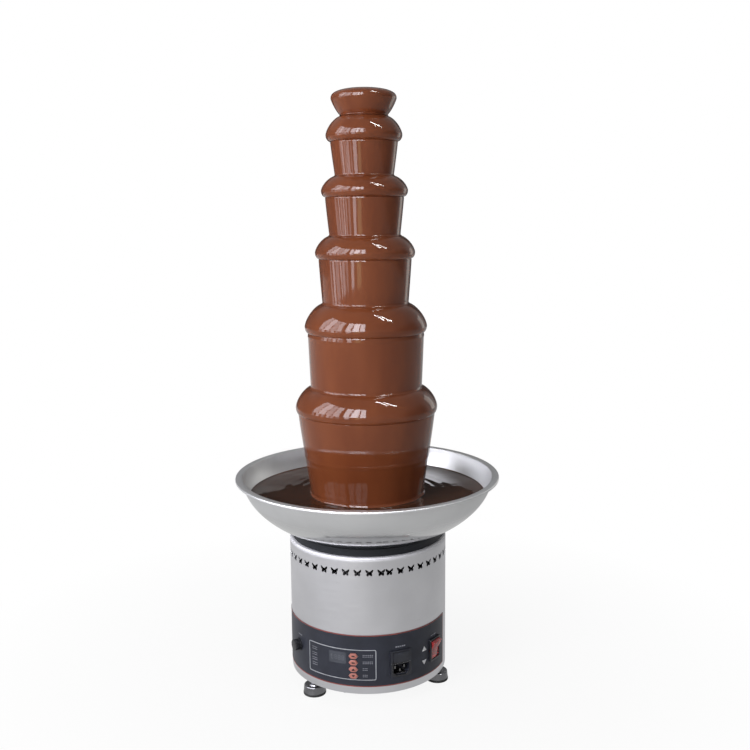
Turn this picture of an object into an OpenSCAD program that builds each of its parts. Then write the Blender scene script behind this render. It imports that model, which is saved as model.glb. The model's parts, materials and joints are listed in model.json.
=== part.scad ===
// Six-level chocolate fountain on a round heated base, standing on the floor plane z = 0.
// The fountain's axis is the z axis and its control panel faces -Y.
// An angle on the housing is counted from the front, positive towards +X.

/* [Housing] */
// Outer radius of the cylindrical housing
housing_r = 115; // [105:1:130]
// Height of the housing
housing_h = 199; // [192:0.5:230]
// Sheet thickness of the housing
housing_t = 1.2; // [0.8:0.1:1.6]
// Outer radius of the rounded top edge
housing_corner = 3; // [2:0.5:4]
// Inner radius of the lip that carries the collar
lip_r = 102; // [98:1:104]
// Width of the flange that the base plate is screwed to
base_flange = 8; // [7:1:10]
// Thickness of the base plate
base_t = 2; // [1.5:0.5:3]
// Number of screws under the base plate
base_screws_n = 6; // [3:1:6]
// Shank radius of a base screw
base_screw_r = 1.9; // [1.5:0.1:2.2]
// Thickness of the plate that closes the top of the housing
top_t = 2; // [1.5:0.5:3]

/* [Vents] */
// Number of butterfly vents
vent_n = 44; // [20:1:44]
// Angle of the first vent
vent_start = 14.7; // [0:0.1:30]
// Angle between two vents
vent_pitch = 8.24; // [8:0.01:8.3]
// Depth of the vents' middle below the top of the housing
vent_drop = 21.5; // [15:0.5:30]
// Distance from a vent's middle to the tip of an upper wing
wing_w = 5.5; // [4.5:0.1:5.5]
// Height of the upper wings above a vent's middle
wing_h = 4.8; // [4:0.1:5.5]
// Distance from a vent's middle to the outside of a lower wing
tail_w = 4.1; // [3.4:0.1:4.4]
// Depth of the lower wings below a vent's middle
tail_h = 4.7; // [4:0.1:5.2]

/* [Feet] */
// Height from the floor to the base plate
foot_h = 19.5; // [19.5:0.5:26]
// Distance of the feet's axes inside the housing's outside
foot_inset = 9; // [9:1:20]
// Angle of the first foot
foot_start = -48; // [-60:1:-40]
// Radius of a foot's rubber sole
foot_r = 16.4; // [12:0.1:18]
// Thickness of the rubber sole
sole_t = 4; // [3:0.5:6]
// Height of the steel cup on the sole
foot_cup_h = 10.7; // [7:0.1:10.7]
// Height of the lock nut
foot_nut_h = 4.2; // [3:0.1:4.2]
// Radius of the levelling stud
stud_r = 3; // [2.5:0.1:4]
// Travel of a foot when it is screwed out
foot_travel = 10; // [4:1:10]
// Length of the stud that stays above the lock nut's place when the foot is screwed out
stud_hold = 18; // [14:1:20]

/* [Basin] */
// Radius of the bowl at its widest place
basin_r = 183.5; // [160:0.5:200]
// Height of the round of the bowl's side
basin_round = 104.9; // [98:0.1:115]
// Height of the middle of that round above the bottom
basin_mid = 91.6; // [86:0.1:96]
// Height of the bowl
basin_h = 86; // [75:0.5:86]
// Sheet thickness of the bowl
basin_t = 1.5; // [1:0.1:2.5]
// Width of the flat rim
rim_w = 9; // [6:0.5:14]
// Height of the rim's turned edge
rim_edge = 3.5; // [2.5:0.5:6]
// Gap between the housing and the bottom of the bowl
basin_gap = 3.5; // [3.2:0.1:4]
// Step from the housing's outside in to the insulating collar
collar_step = 4.5; // [3.5:0.5:8]
// Width of the insulating collar
collar_w = 10.5; // [9.5:0.5:13]
// Depth of the chocolate in the bowl
pool_depth = 56.5; // [30:0.5:70]
// Radius of the heater plate under the bowl
heater_r = 82; // [76:1:86]
// Thickness of the heater plate
heater_t = 3.2; // [2:0.1:3.2]
// Radius of the element's ring in the heater plate
element_r = 54; // [52:1:60]
// Radius of the thermostat
thermostat_r = 8; // [6:0.5:9]
// Height of the thermostat
thermostat_h = 15; // [10:1:20]
// Distance of the thermostat from the axis
thermostat_x = 40; // [38:1:41]
// Distance of the four basin studs from the axis
basin_stud_ring = 70; // [66:1:74]
// Radius of a basin stud
basin_stud_r = 2.5; // [2:0.1:3]

/* [Hub] */
// Radius of the standpipe in the middle of the basin
hub_r = 13; // [12:0.1:14]
// Height of the standpipe above the basin's floor
hub_h = 22.5; // [20:0.5:26]
// Radius of the hub's stem below the floor
hub_stem_r = 10.8; // [10:0.1:11.5]
// Thickness of the hub's flange
hub_flange_t = 3; // [2:0.5:4]
// Bore of the hub
hub_bore = 8.5; // [8:0.1:9.5]
// Height of a shaft bush
bush_h = 8; // [6:0.5:9]
// Height of the shaft seal
seal_h = 6; // [4:0.5:7]

/* [Tower] */
// Outer radius of the tower tube
tube_r = 28; // [26:0.5:30]
// Wall of the tower tube
tube_t = 1.5; // [1:0.1:2]
// Length of the tower tube
tube_h = 602.2; // [580:0.1:640]
// Width of an intake slot at the foot of the tube
slot_w = 20; // [12:1:26]
// Height of an intake slot
slot_h = 24; // [15:1:40]
// Sheet thickness of a tier
tier_t = 1.2; // [0.8:0.1:1.6]
// Wall of the tiers' collars on the tube
tier_collar = 1.85; // [1.4:0.05:2]
// Height of the tiers' collars on the tube
tier_collar_h = 14; // [8:1:18]
// Rise of a tier's inner cone for each millimetre inwards
tier_slope = 0.12; // [0.05:0.01:0.2]
// Fullness of a tier's round, where 1 is straight and 2 is an ellipse
dome_power = 1.5; // [1.3:0.05:2]
// Depth of the rounded edge below a tier's widest place
edge_drop = 12.5; // [9:0.5:14]
// How far the edge draws in at the top tier
edge_in_top = 6.2; // [4:0.1:8]
// How far the edge draws in at the bottom tier
edge_in_bottom = 3.5; // [2:0.1:6]

/* [Tiers from the top down] */
// Radius of tier 1 with its chocolate
tier_1_r = 53.4; // [48:0.1:60]
// Radius of tier 2 with its chocolate
tier_2_r = 60.9; // [56:0.1:68]
// Radius of tier 3 with its chocolate
tier_3_r = 70.7; // [64:0.1:80]
// Radius of tier 4 with its chocolate
tier_4_r = 87.4; // [78:0.1:95]
// Radius of tier 5 with its chocolate
tier_5_r = 102.4; // [95:0.1:115]
// Depth of tier 1 below the top of the tower tube
tier_1_drop = 35.5; // [33.5:0.5:38]
// Depth of tier 2 below the top of the tower tube
tier_2_drop = 111; // [98:0.5:122]
// Depth of tier 3 below the top of the tower tube
tier_3_drop = 196.5; // [183:0.5:207]
// Depth of tier 4 below the top of the tower tube
tier_4_drop = 301; // [288:0.5:312]
// Depth of tier 5 below the top of the tower tube
tier_5_drop = 417; // [403:0.5:432]
// Height of the round of tier 1
tier_1_dome = 25; // [24:0.5:26]
// Height of the round of tier 2
tier_2_dome = 20; // [15:0.5:26]
// Height of the round of tier 3
tier_3_dome = 23; // [17:0.5:30]
// Height of the round of tier 4
tier_4_dome = 32; // [24:0.5:38]
// Height of the round of tier 5
tier_5_dome = 28; // [20:0.5:34]

/* [Chocolate] */
// Thickness of the running chocolate
film = 1.6; // [1:0.1:2.2]
// Radius where curtain 1 lands on tier 2
curtain_1_foot = 41.2; // [38:0.1:46]
// Radius where curtain 2 lands on tier 3
curtain_2_foot = 50.1; // [46:0.1:54]
// Radius where curtain 3 lands on tier 4
curtain_3_foot = 61.3; // [56:0.1:65]
// Radius where curtain 4 lands on tier 5
curtain_4_foot = 80.3; // [72:0.1:83]
// Radius where curtain 5 lands in the pool
curtain_5_foot = 82; // [76:0.1:95]
// How the curtains fall, where 1 is a straight cone
fall_power = 1.1; // [1:0.05:1.3]
// Radius of the chocolate on the crown
crown_r = 45.5; // [42:0.1:49]
// Radius of the chocolate at the crown's neck
crown_neck = 33.2; // [33:0.1:35]
// Height of the crown's widest place above its neck
crown_cup = 21.5; // [19:0.5:24]
// Height of the chocolate above the crown's widest place
crown_dome = 14; // [10:0.5:18]

/* [Crown] */
// Radius of the crown's floor inside
crown_floor_r = 34; // [30:0.5:35]
// Wall of the crown at its rim
crown_wall = 1.2; // [1:0.1:2]
// Thickness of the crown's stop on the tube
crown_stop = 1.2; // [1:0.1:2]
// Height of the crown's rim above its widest place
crown_rim = 1; // [0.5:0.1:2]

/* [Auger] */
// Outer radius of the auger's flight
flight_r = 25.3; // [23:0.1:25.5]
// Climb of the flight in one turn
flight_pitch = 45; // [38:1:60]
// Angle that the flight is thick, seen from above
flight_angle = 24; // [16:1:30]
// Radius of the auger's core
core_r = 8; // [7:0.5:10]
// Gap between the top of the auger and the top of the tube
auger_drop = 14; // [8:1:30]
// Wall of the auger's skirt round the standpipe
skirt_t = 2; // [1.5:0.5:3]

/* [Drive] */
// Radius of the drive shaft
shaft_r = 6; // [5:0.5:6.5]
// Length of the drive shaft above the standpipe
shaft_end = 19; // [16:1:22]
// Radius of the cross pin
pin_r = 2; // [1.5:0.1:2.4]
// Length of the cross pin
pin_l = 26; // [22:1:27]
// Tooth module of the output gear and the idler's pinion
module_out = 1.25; // [1.1:0.05:1.25]
// Tooth module of the idler gear and the motor's pinion
module_in = 0.8; // [0.7:0.05:0.8]
// Teeth of the output gear
teeth_out = 56; // [52:4:56]
// Teeth of the idler's pinion
teeth_pinion = 14; // [14:1:16]
// Teeth of the idler gear
teeth_idler = 60; // [56:4:60]
// Teeth of the motor's pinion
teeth_motor = 12; // [12:1:14]
// Pressure angle of the teeth
pressure_angle = 25; // [20:1:27]
// Gap between two flanks in mesh, on each side
backlash = 0.12; // [0.05:0.01:0.2]
// Width of the output gear
gear_out_w = 8; // [6:0.5:9]
// Width of the idler gear
gear_in_w = 6; // [4:0.5:6.5]
// Radius of the idler's journals
idler_r = 4; // [3:0.5:4.5]
// Outer radius of the gearbox's round ends
gearbox_r = 41; // [40:0.5:44]
// Height of the gearbox with its cover
gearbox_h = 30; // [29:0.5:34]
// Wall of the gearbox's sides
gearbox_t = 2.5; // [2:0.1:2.8]
// Thickness of the gearbox's floor and cover
gearbox_floor = 3; // [2.5:0.5:3.5]
// Length of the pillars between gearbox and top plate
pillar_h = 45.3; // [40:0.1:50]
// Radius of a pillar
pillar_r = 4; // [3:0.5:5]
// Outer radius of the motor
motor_r = 32; // [28:0.5:36]
// Length of the motor
motor_h = 80; // [70:1:90]
// Radius of the motor's shaft
motor_shaft_r = 3; // [2.5:0.1:3.2]
// Radius of the motor's rotor
rotor_r = 19; // [16:0.5:19.5]

/* [Panel] */
// Thickness of the panel overlay
overlay_t = 0.4; // [0.3:0.1:0.6]
// Height of the steel strip below the overlay
strip_h = 10.5; // [8:0.5:11.5]
// Height of the overlay
overlay_h = 76.5; // [74:0.5:80]
// Angle of the overlay's left end
overlay_left = -95; // [-110:1:-85]
// Angle of the overlay's right end
overlay_right = 70; // [68:1:90]
// Angle of the display's middle
display_at = -22.45; // [-23:0.05:-22]
// Angle that the display is wide
display_wide = 12.7; // [10:0.1:13]
// Height of the display's middle above the foot of the housing
display_z = 52; // [50:0.5:53]
// Height of the display window
display_h = 17; // [12:0.5:18]
// Angle of the column of keys
key_at = -11; // [-11.5:0.1:-10]
// Height of the lowest key above the foot of the housing
key_z = 26.6; // [25:0.1:27]
// Distance between two keys
key_pitch = 9.8; // [9.6:0.1:10.8]
// Width of a key
key_w = 13; // [10:0.5:13]
// Height of a key
key_h = 7.5; // [6:0.1:7.6]
// How far a key stands proud of the overlay
key_proud = 1; // [0.7:0.1:1.5]
// Travel of a key
key_travel = 0.5; // [0.3:0.1:0.6]
// Distance of the control board's face behind the housing's surface
board_drop = 15; // [14:0.5:16]
// Thickness of the control board
board_t = 1.6; // [1:0.1:2]

/* [Fuse] */
// Angle of the fuse holder
fuse_at = -60.5; // [-66:0.5:-58]
// Height of the fuse holder above the foot of the housing
fuse_z = 49; // [43:0.5:53]
// Radius of the fuse holder's body
fuse_body_r = 6; // [5.5:0.1:7]
// Length of the fuse holder behind its flange
fuse_body_l = 38; // [30:1:42]
// Radius of the fuse holder's flange
fuse_flange_r = 9; // [8.5:0.1:10]
// Radius of the fuse cap
fuse_cap_r = 8; // [6.5:0.1:8]
// Height of the fuse cap
fuse_cap_h = 7; // [6:0.5:10]

/* [Inlet] */
// Angle of the inlet
inlet_at = 22.5; // [20:0.5:24]
// Width of the inlet's flange
inlet_w = 32; // [30:0.5:34]
// Height of the inlet's flange
inlet_h = 38; // [37:0.5:40]
// Height of the inlet's middle above the foot of the housing
inlet_z = 42.5; // [41.5:0.5:44.5]
// Thickness of the inlet's and the switch's flanges over the overlay
bezel_t = 2.5; // [2:0.5:4]
// Width of the socket's mouth
socket_w = 24.5; // [24:0.1:25]
// Height of the socket's mouth
socket_h = 16.5; // [16:0.1:17]
// Depth of the socket
socket_d = 15; // [14:0.5:17]
// Height of the fuse drawer's face
drawer_h = 14.6; // [13:0.1:14.6]

/* [Switch] */
// Angle of the rocker switch
switch_at = 54.5; // [50:0.5:58]
// Height of the switch above the foot of the housing
switch_z = 45; // [40.5:0.5:48.5]
// Width of the switch's bezel
switch_w = 26; // [25:0.5:30]
// Height of the switch's bezel
switch_h = 33; // [32:0.5:36]
// Width of the rocker
rocker_w = 20; // [16:0.5:20]
// Radius of the rocker's ends round its pivot
rocker_r = 13.7; // [12:0.1:13.8]
// Half of the angle that the rocker tips
rocker_tip = 12; // [8:1:13]

/* [Fits] */
// Gap between pieces that move past each other
slide_gap = 0.3; // [0.25:0.05:0.4]
// Gap between a piece and the one that it is fixed on
seat_gap = 0.15; // [0.1:0.05:0.2]
// Gap between a shaft and its bush
bush_gap = 0.1; // [0.05:0.01:0.15]

/* [Hidden] */
$fn = 64;

// Heights of the base, from the floor up
housing_z = foot_h;
housing_top = housing_z + housing_h;
base_z = housing_z + base_t;
top_z = housing_top - housing_t;
top_under = top_z - top_t;
basin_z = housing_top + basin_gap;
floor_z = basin_z + basin_t;
heater_z = basin_z - heater_t;
hub_top = floor_z + hub_h;
pool_top = floor_z + pool_depth;
rim_z = basin_z + basin_h;

// Radii of the base
foot_ring = housing_r - foot_inset;
collar_r = housing_r - collar_step;
collar_bore = collar_r - collar_w;
housing_bore = housing_r - housing_t;
panel_r = housing_r + 0.05;
face_r = panel_r + overlay_t;
bezel_back = face_r + 0.05;
bezel_face = face_r + bezel_t;

// Drive train, which hangs from the top plate on pillars
cover_top = top_under - pillar_h;
cover_z = cover_top - gearbox_floor;
gearbox_z = cover_top - gearbox_h;
case_floor = gearbox_z + gearbox_floor;
gear_in_z = case_floor + 2;
gear_out_z = gear_in_z + gear_in_w + 5;
idler_y = module_out * (teeth_out + teeth_pinion) / 2;
motor_y = idler_y - module_in * (teeth_idler + teeth_motor) / 2;
motor_z = gearbox_z - motor_h;
rotor_low = 16;
rotor_h = motor_h - 2.5 * rotor_low;
pillar_x = gearbox_r - 8;
pillar_y = [-12, idler_y + 16];

// Shaft and auger
shaft_z = gearbox_z + 1.5;
shaft_top = hub_top + shaft_end;
pin_z = hub_top + shaft_end / 2;
auger_z = floor_z + hub_flange_t + 2.5;
socket_z = hub_top + 4;
skirt_r = hub_r + slide_gap + 0.2 + skirt_t;
skirt_top = shaft_top + 5;
tube_z = floor_z + slide_gap;
tube_top = tube_z + tube_h;
auger_top = tube_top - auger_drop;

// Tiers from the top down
tier_r = [tier_1_r, tier_2_r, tier_3_r, tier_4_r, tier_5_r];
tier_drop = [tier_1_drop, tier_2_drop, tier_3_drop, tier_4_drop, tier_5_drop];
tier_z = [for (drop = tier_drop) tube_top - drop];
tier_dome = [tier_1_dome, tier_2_dome, tier_3_dome, tier_4_dome, tier_5_dome];
tier_neck = [crown_neck, curtain_1_foot, curtain_2_foot, curtain_3_foot, curtain_4_foot];
curtain_foot = [curtain_1_foot, curtain_2_foot, curtain_3_foot, curtain_4_foot, curtain_5_foot];
edge_in = [for (i = [0:4]) edge_in_top + (edge_in_bottom - edge_in_top) * i / 4];
landing = [for (i = [0:4]) i < 4 ? tier_z[i + 1] + tier_dome[i + 1] : pool_top + slide_gap];
under_film = film + seat_gap;
collar_in = tube_r + seat_gap;
crown_seat = tier_z[0] + tier_dome[0] - under_film + slide_gap;
crown_foot = tier_z[0] + tier_dome[0] + slide_gap;
crown_start = crown_foot + 1.7;
crown_wide = crown_start + crown_cup;
crown_rim_z = crown_wide + crown_rim;
crown_floor = tube_top + seat_gap + crown_stop;
crown_round = 1.2;
top_round = 2.65;
socket_wall = 1.6;
curve_steps = 10;

// Panel heights
overlay_z = housing_z + strip_h;
board_y = housing_r - board_drop;
board_left = 40;
board_right = 12;
board_low = key_z - 5;
board_high = key_z + 3 * key_pitch + 7;
switch_pad_h = 3.5;
socket_mid = inlet_z - inlet_h / 2 + 2 + socket_h / 2;
drawer_mid = inlet_z + inlet_h / 2 - 2.3 - drawer_h / 2;
pin_pitch = 14;
drawer_w = 24;
rocker_pivot = face_r - 0.45;
flange_in = housing_r - housing_t - base_flange;

// Quarter round from (inner, z + h) out to (outer, z)
function quarter(inner, outer, h, z, power) = [
    for (i = [0:curve_steps]) [
        inner + (outer - inner) * pow(sin(90 * i / curve_steps), 2 / power),
        z + h * pow(cos(90 * i / curve_steps), 2 / power)
    ]
];

// Edge that draws in as it drops, for a share of its whole depth
function edge(r, inset, z, share) = [
    for (i = [1:curve_steps]) let (t = share * i / curve_steps)
        [r - inset * (1 - cos(180 * t)) / 2, z - edge_drop * t]
];

// Free fall of a curtain from one radius and height to another
function fall(r0, z0, r1, z1) = [
    for (i = [1:curve_steps]) let (t = i / curve_steps)
        [r0 - (r0 - r1) * pow(t, fall_power), z0 - (z0 - z1) * t]
];

function backwards(points) = [for (i = [len(points) - 1:-1:0]) points[i]];

// Height of the bowl's outside, or of a surface inset from it, at a radius
function bowl_z(r, inset = 0) =
    basin_z + basin_mid - (basin_round - inset) * sqrt(1 - pow(r / (basin_r - inset), 2));

// Radius of the bowl's outside, or of a surface inset from it, at a height
function bowl_r(z, inset = 0) =
    (basin_r - inset) * sqrt(1 - pow((basin_z + basin_mid - z) / (basin_round - inset), 2));

function bowl_side(low, high, inset) = [
    for (i = [0:2 * curve_steps]) let (z = low + (high - low) * pow(i / (2 * curve_steps), 1.6))
        [bowl_r(z, inset), z]
];

// Involute flank of a gear tooth, as points from its foot to its tip
function involute(base, a) = [
    base * (cos(a) + a * PI / 180 * sin(a)),
    base * (sin(a) - a * PI / 180 * cos(a))
];

function turned(p, a) = [p[0] * cos(a) - p[1] * sin(a), p[0] * sin(a) + p[1] * cos(a)];

function roll_angle(base, r) = sqrt(pow(r / base, 2) - 1) * 180 / PI;

function flank(m, n) =
    let (
        pitch_r = m * n / 2,
        base = pitch_r * cos(pressure_angle),
        foot = pitch_r - 1.25 * m,
        tip = pitch_r + m,
        at_pitch = involute(base, roll_angle(base, pitch_r)),
        half = 90 / n - backlash / pitch_r * 180 / PI,
        lean = atan2(at_pitch[1], at_pitch[0]) + half,
        from = foot > base ? roll_angle(base, foot) : 0,
        to = roll_angle(base, tip)
    )
    concat(
        foot < base ? [turned([foot, 0], -lean)] : [],
        [for (i = [0:4]) turned(involute(base, from + (to - from) * i / 4), -lean)]
    );

// Outline of a spur gear with a tooth's middle on the x axis
function gear_outline(m, n) =
    let (side = flank(m, n))
    [
        for (k = [0:n - 1])
            for (p = concat(side, [for (q = backwards(side)) [q[0], -q[1]]]))
                turned(p, 360 / n * k)
    ];

module spur_gear(m, n, w) {
    linear_extrude(w) polygon(gear_outline(m, n));
}

// Extrudes an upright outline outwards, between two distances from the axis
module outward(near, far) {
    translate([0, -near, 0]) rotate([90, 0, 0]) linear_extrude(far - near) children();
}

// Puts its children at an angle on the housing and a height above its foot
module on_panel(angle, height) {
    rotate([0, 0, angle]) translate([0, 0, housing_z + height]) children();
}

module round_rect(w, h, r) {
    square([w - 2 * r, h], center = true);
    square([w, h - 2 * r], center = true);
    for (x = [-1, 1], y = [-1, 1])
        translate([x * (w / 2 - r), y * (h / 2 - r)]) circle(r);
}

module tube(outer, inner, h) {
    difference() {
        cylinder(r = outer, h = h);
        translate([0, 0, -1]) cylinder(r = inner, h = h + 2);
    }
}

// Part of a round sheet between two angles from the front
module panel_sector(inner, outer, left, right, h) {
    rotate([0, 0, left - 90]) rotate_extrude(angle = right - left)
        translate([inner, 0]) square([outer - inner, h]);
}

module around(n, start, radius) {
    for (k = [0:n - 1])
        rotate([0, 0, start + 360 / n * k]) translate([0, -radius, 0]) children();
}

// Right half of a butterfly's outline, from the notch between its upper wings down to its tail
function wing_side() = [
    [0, 0.34 * wing_h], [0.3 * wing_w, 0.56 * wing_h], [0.62 * wing_w, 0.86 * wing_h],
    [0.86 * wing_w, wing_h], [wing_w, 0.92 * wing_h],
    [0.97 * wing_w, 0.6 * wing_h], [0.86 * wing_w, 0.22 * wing_h],
    [0.64 * wing_w, -0.04 * wing_h], [0.92 * tail_w, -0.26 * tail_h], [tail_w, -0.6 * tail_h],
    [0.84 * tail_w, -0.94 * tail_h], [0.54 * tail_w, -tail_h], [0.22 * tail_w, -0.8 * tail_h]
];

// Butterfly with its middle at the origin
module butterfly() {
    polygon(concat(
        wing_side(), [[0, -0.62 * tail_h]],
        [for (p = backwards(wing_side())) if (p[0] > 0) [-p[0], p[1]]]
    ));
}

module key_outline(grow) {
    w = key_w + 2 * grow;
    h = key_h + 2 * grow;
    polygon([
        [-w / 2, 0], [-w / 2 + h * 0.42, h / 2], [w / 2 - h * 0.42, h / 2],
        [w / 2, 0], [w / 2 - h * 0.42, -h / 2], [-w / 2 + h * 0.42, -h / 2]
    ]);
}

// Holes for the panel's controls, cut through the housing and the overlay
module panel_holes(extra) {
    near = housing_r - 4;
    far = housing_r + 4;
    for (k = [0:3])
        on_panel(key_at, key_z + k * key_pitch) outward(near, far) key_outline(slide_gap + extra);
    on_panel(fuse_at, fuse_z) outward(near, far) circle(fuse_body_r + seat_gap + extra);
    on_panel(inlet_at, inlet_z) outward(near, far)
        square([inlet_w - 4 + 2 * extra, inlet_h - 6 + 2 * extra], center = true);
    on_panel(switch_at, switch_z) outward(near, far)
        square([switch_w - 3.6 + 2 * extra, switch_h - 3.6 + 2 * extra], center = true);
}

module display_hole() {
    half = display_wide / 2 - 1;
    translate([0, 0, housing_z + display_z - display_h / 2 + 1])
        panel_sector(housing_r - 4, housing_r + 4, display_at - half, display_at + half, display_h - 2);
}

// Places of the board's posts: distance to the side of the keys and height above the housing's foot
function board_posts() = [
    [-board_left + 3.5, board_low + 4], [-board_left + 3.5, board_high - 4],
    [board_right - 2.5, board_low + 2], [board_right - 2.5, board_high - 2]
];

module housing_profile() {
    arc = [for (a = [0:15:90]) [cos(a), sin(a)]];
    inner_corner = housing_corner - housing_t;
    corner_r = housing_r - housing_corner;
    corner_z = housing_top - housing_corner;
    polygon(concat(
        [[housing_r, housing_z]],
        [for (p = arc) [corner_r + housing_corner * p[0], corner_z + housing_corner * p[1]]],
        [[lip_r, housing_top], [lip_r, top_z]],
        [for (p = backwards(arc)) [corner_r + inner_corner * p[0], corner_z + inner_corner * p[1]]],
        [
            [housing_bore, base_z + housing_t], [flange_in, base_z + housing_t],
            [flange_in, base_z], [housing_bore, base_z], [housing_bore, housing_z]
        ]
    ));
}

module housing_shell() {
    color([0.73, 0.73, 0.74]) {
        difference() {
            rotate_extrude() housing_profile();
            for (k = [0:vent_n - 1])
                rotate([0, 0, vent_start + vent_pitch * k]) translate([0, 0, housing_top - vent_drop])
                    outward(housing_r - 4, housing_r + 4) butterfly();
            panel_holes(0);
            display_hole();
            base_screw_places() translate([0, 0, -1]) cylinder(r = base_screw_r + 0.2, h = base_t + 6);
            around(3, foot_start, foot_ring) translate([0, 0, housing_z])
                cylinder(r = boss_r() + slide_gap, h = base_t + 6);
        }
        for (p = board_posts())
            on_panel(key_at, p[1]) translate([p[0], 0, 0])
                outward(board_y - board_t - 3, sqrt(pow(housing_bore, 2) - pow(p[0], 2)) + housing_t / 2)
                    circle(1.5);
    }
}

function boss_r() = stud_r + 3.5;

module base_screw_places() {
    around(base_screws_n, foot_start + 30, housing_bore - base_flange / 2) translate([0, 0, housing_z])
        children();
}

module base_plate() {
    color([0.62, 0.62, 0.63]) difference() {
        union() {
            translate([0, 0, housing_z]) cylinder(r = housing_bore - seat_gap, h = base_t);
            around(3, foot_start, foot_ring) translate([0, 0, housing_z])
                cylinder(r = boss_r(), h = base_t + 8);
        }
        around(3, foot_start, foot_ring) translate([0, 0, housing_z - 1])
            cylinder(r = stud_r + slide_gap, h = base_t + 10);
        base_screw_places() translate([0, 0, -1]) cylinder(r = base_screw_r + 0.2, h = base_t + 2);
    }
}

module base_screws() {
    color([0.7, 0.7, 0.72]) base_screw_places() {
        translate([0, 0, -1.8]) cylinder(r = base_screw_r + 1.6, h = 1.8);
        cylinder(r = base_screw_r, h = base_t + housing_t + 3);
        translate([0, 0, base_t + housing_t]) cylinder(r = base_screw_r + 1.4, h = 2.4, $fn = 6);
    }
}

module basin_stud_places() {
    around(4, 45, basin_stud_ring) children();
}

module top_plate() {
    color([0.62, 0.62, 0.63]) difference() {
        translate([0, 0, top_under]) cylinder(r = housing_r - housing_corner - 0.2, h = top_t);
        translate([0, 0, top_under - 1]) cylinder(r = hub_stem_r + 0.3, h = top_t + 2);
        translate([0, -thermostat_x, top_under - 1]) cylinder(r = thermostat_r + 1.5, h = top_t + 2);
        basin_stud_places() translate([0, 0, top_under - 1]) cylinder(r = basin_stud_r + 0.3, h = top_t + 2);
    }
}

module insulating_collar() {
    color([0.13, 0.13, 0.14]) rotate_extrude() polygon([
        [collar_bore, housing_top], [collar_r, housing_top],
        [collar_r, bowl_z(collar_r) - 2.4 * seat_gap], [collar_bore, bowl_z(collar_bore) - 2.4 * seat_gap]
    ]);
}

module basin() {
    outer = basin_r + rim_w - 0.5;
    hem = rim_z - rim_edge;
    color([0.74, 0.74, 0.75]) rotate_extrude() polygon(concat(
        [[hub_stem_r + 0.3, basin_z]],
        bowl_side(basin_z, rim_z - basin_t, 0),
        [
            [outer - basin_t, rim_z - basin_t - 0.4], [outer - basin_t, hem], [outer - 0.4, hem],
            [outer, hem + 0.4], [outer, rim_z - 1.2], [outer - 1.2, rim_z - 0.3],
            [outer - rim_w / 2, rim_z], [basin_r - 0.6, rim_z - 0.3]
        ],
        backwards(bowl_side(floor_z, rim_z - 1.2, basin_t)),
        [[hub_stem_r + 0.3, floor_z]]
    ));
}

module basin_hub() {
    flange = tube_r - tube_t - slide_gap;
    color([0.7, 0.7, 0.72]) rotate_extrude() polygon([
        [hub_bore, top_under - 9], [hub_stem_r, top_under - 9], [hub_stem_r, floor_z], [flange, floor_z],
        [flange, floor_z + hub_flange_t], [hub_r, floor_z + hub_flange_t],
        [hub_r, hub_top], [hub_bore, hub_top]
    ]);
}

module shaft_seal() {
    color([0.12, 0.12, 0.12]) translate([0, 0, hub_top - seal_h - 0.5])
        tube(hub_bore - seat_gap / 2, shaft_r + bush_gap, seal_h);
}

module shaft_bushes() {
    color([0.72, 0.55, 0.32])
        for (z = [top_under - 8, hub_top - seal_h - 1 - bush_h])
            translate([0, 0, z]) tube(hub_bore - seat_gap / 2, shaft_r + bush_gap, bush_h);
}

module heater_plate() {
    color([0.66, 0.66, 0.67]) difference() {
        union() {
            translate([0, 0, heater_z]) cylinder(r = heater_r, h = heater_t);
            translate([0, 0, top_z + 0.2]) tube(element_r + 4, element_r - 4, heater_z - top_z + 0.8);
        }
        translate([0, 0, heater_z - 2]) cylinder(r = hub_stem_r + 9, h = heater_t + 4);
        basin_stud_places() translate([0, 0, heater_z - 2])
            cylinder(r = basin_stud_r + 0.3, h = heater_t + 4);
    }
}

module thermostat() {
    color([0.2, 0.2, 0.21]) translate([0, -thermostat_x, heater_z - thermostat_h]) {
        cylinder(r = thermostat_r, h = thermostat_h);
        for (x = [-4, 4])
            translate([x - 0.4, -3, -8]) cube([0.8, 6, 9]);
    }
}

module basin_fixings() {
    color([0.7, 0.7, 0.72]) {
        basin_stud_places() {
            translate([0, 0, top_under - 9]) cylinder(r = basin_stud_r, h = basin_z - top_under + 9);
            translate([0, 0, top_under - 5]) tube_hex(basin_stud_r + 3, basin_stud_r + 0.1, 5);
        }
        translate([0, 0, top_under - 7]) tube_hex(hub_stem_r + 7, hub_stem_r + 0.1, 7);
    }
}

module tube_hex(outer, inner, h) {
    difference() {
        cylinder(r = outer, h = h, $fn = 6);
        translate([0, 0, -1]) cylinder(r = inner, h = h + 2);
    }
}

module panel_overlay() {
    color([0.2, 0.21, 0.25]) difference() {
        translate([0, 0, overlay_z]) panel_sector(panel_r, face_r, overlay_left, overlay_right, overlay_h);
        panel_holes(0.2);
        display_hole();
    }
}

module display_window() {
    half = display_wide / 2;
    color([0.35, 0.36, 0.39]) translate([0, 0, housing_z + display_z - display_h / 2])
        panel_sector(bezel_back, bezel_back + 0.5, display_at - half, display_at + half, display_h);
}

module display_module() {
    left = board_y * sin(display_at - display_wide / 2 - key_at) * 1.09;
    right = board_y * sin(display_at + display_wide / 2 - key_at) * 1.09;
    color([0.25, 0.26, 0.28]) on_panel(key_at, display_z)
        translate([left, 1 - board_y - 7.6, -display_h / 2 - 1]) cube([right - left, 6.5, display_h + 2]);
}

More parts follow.
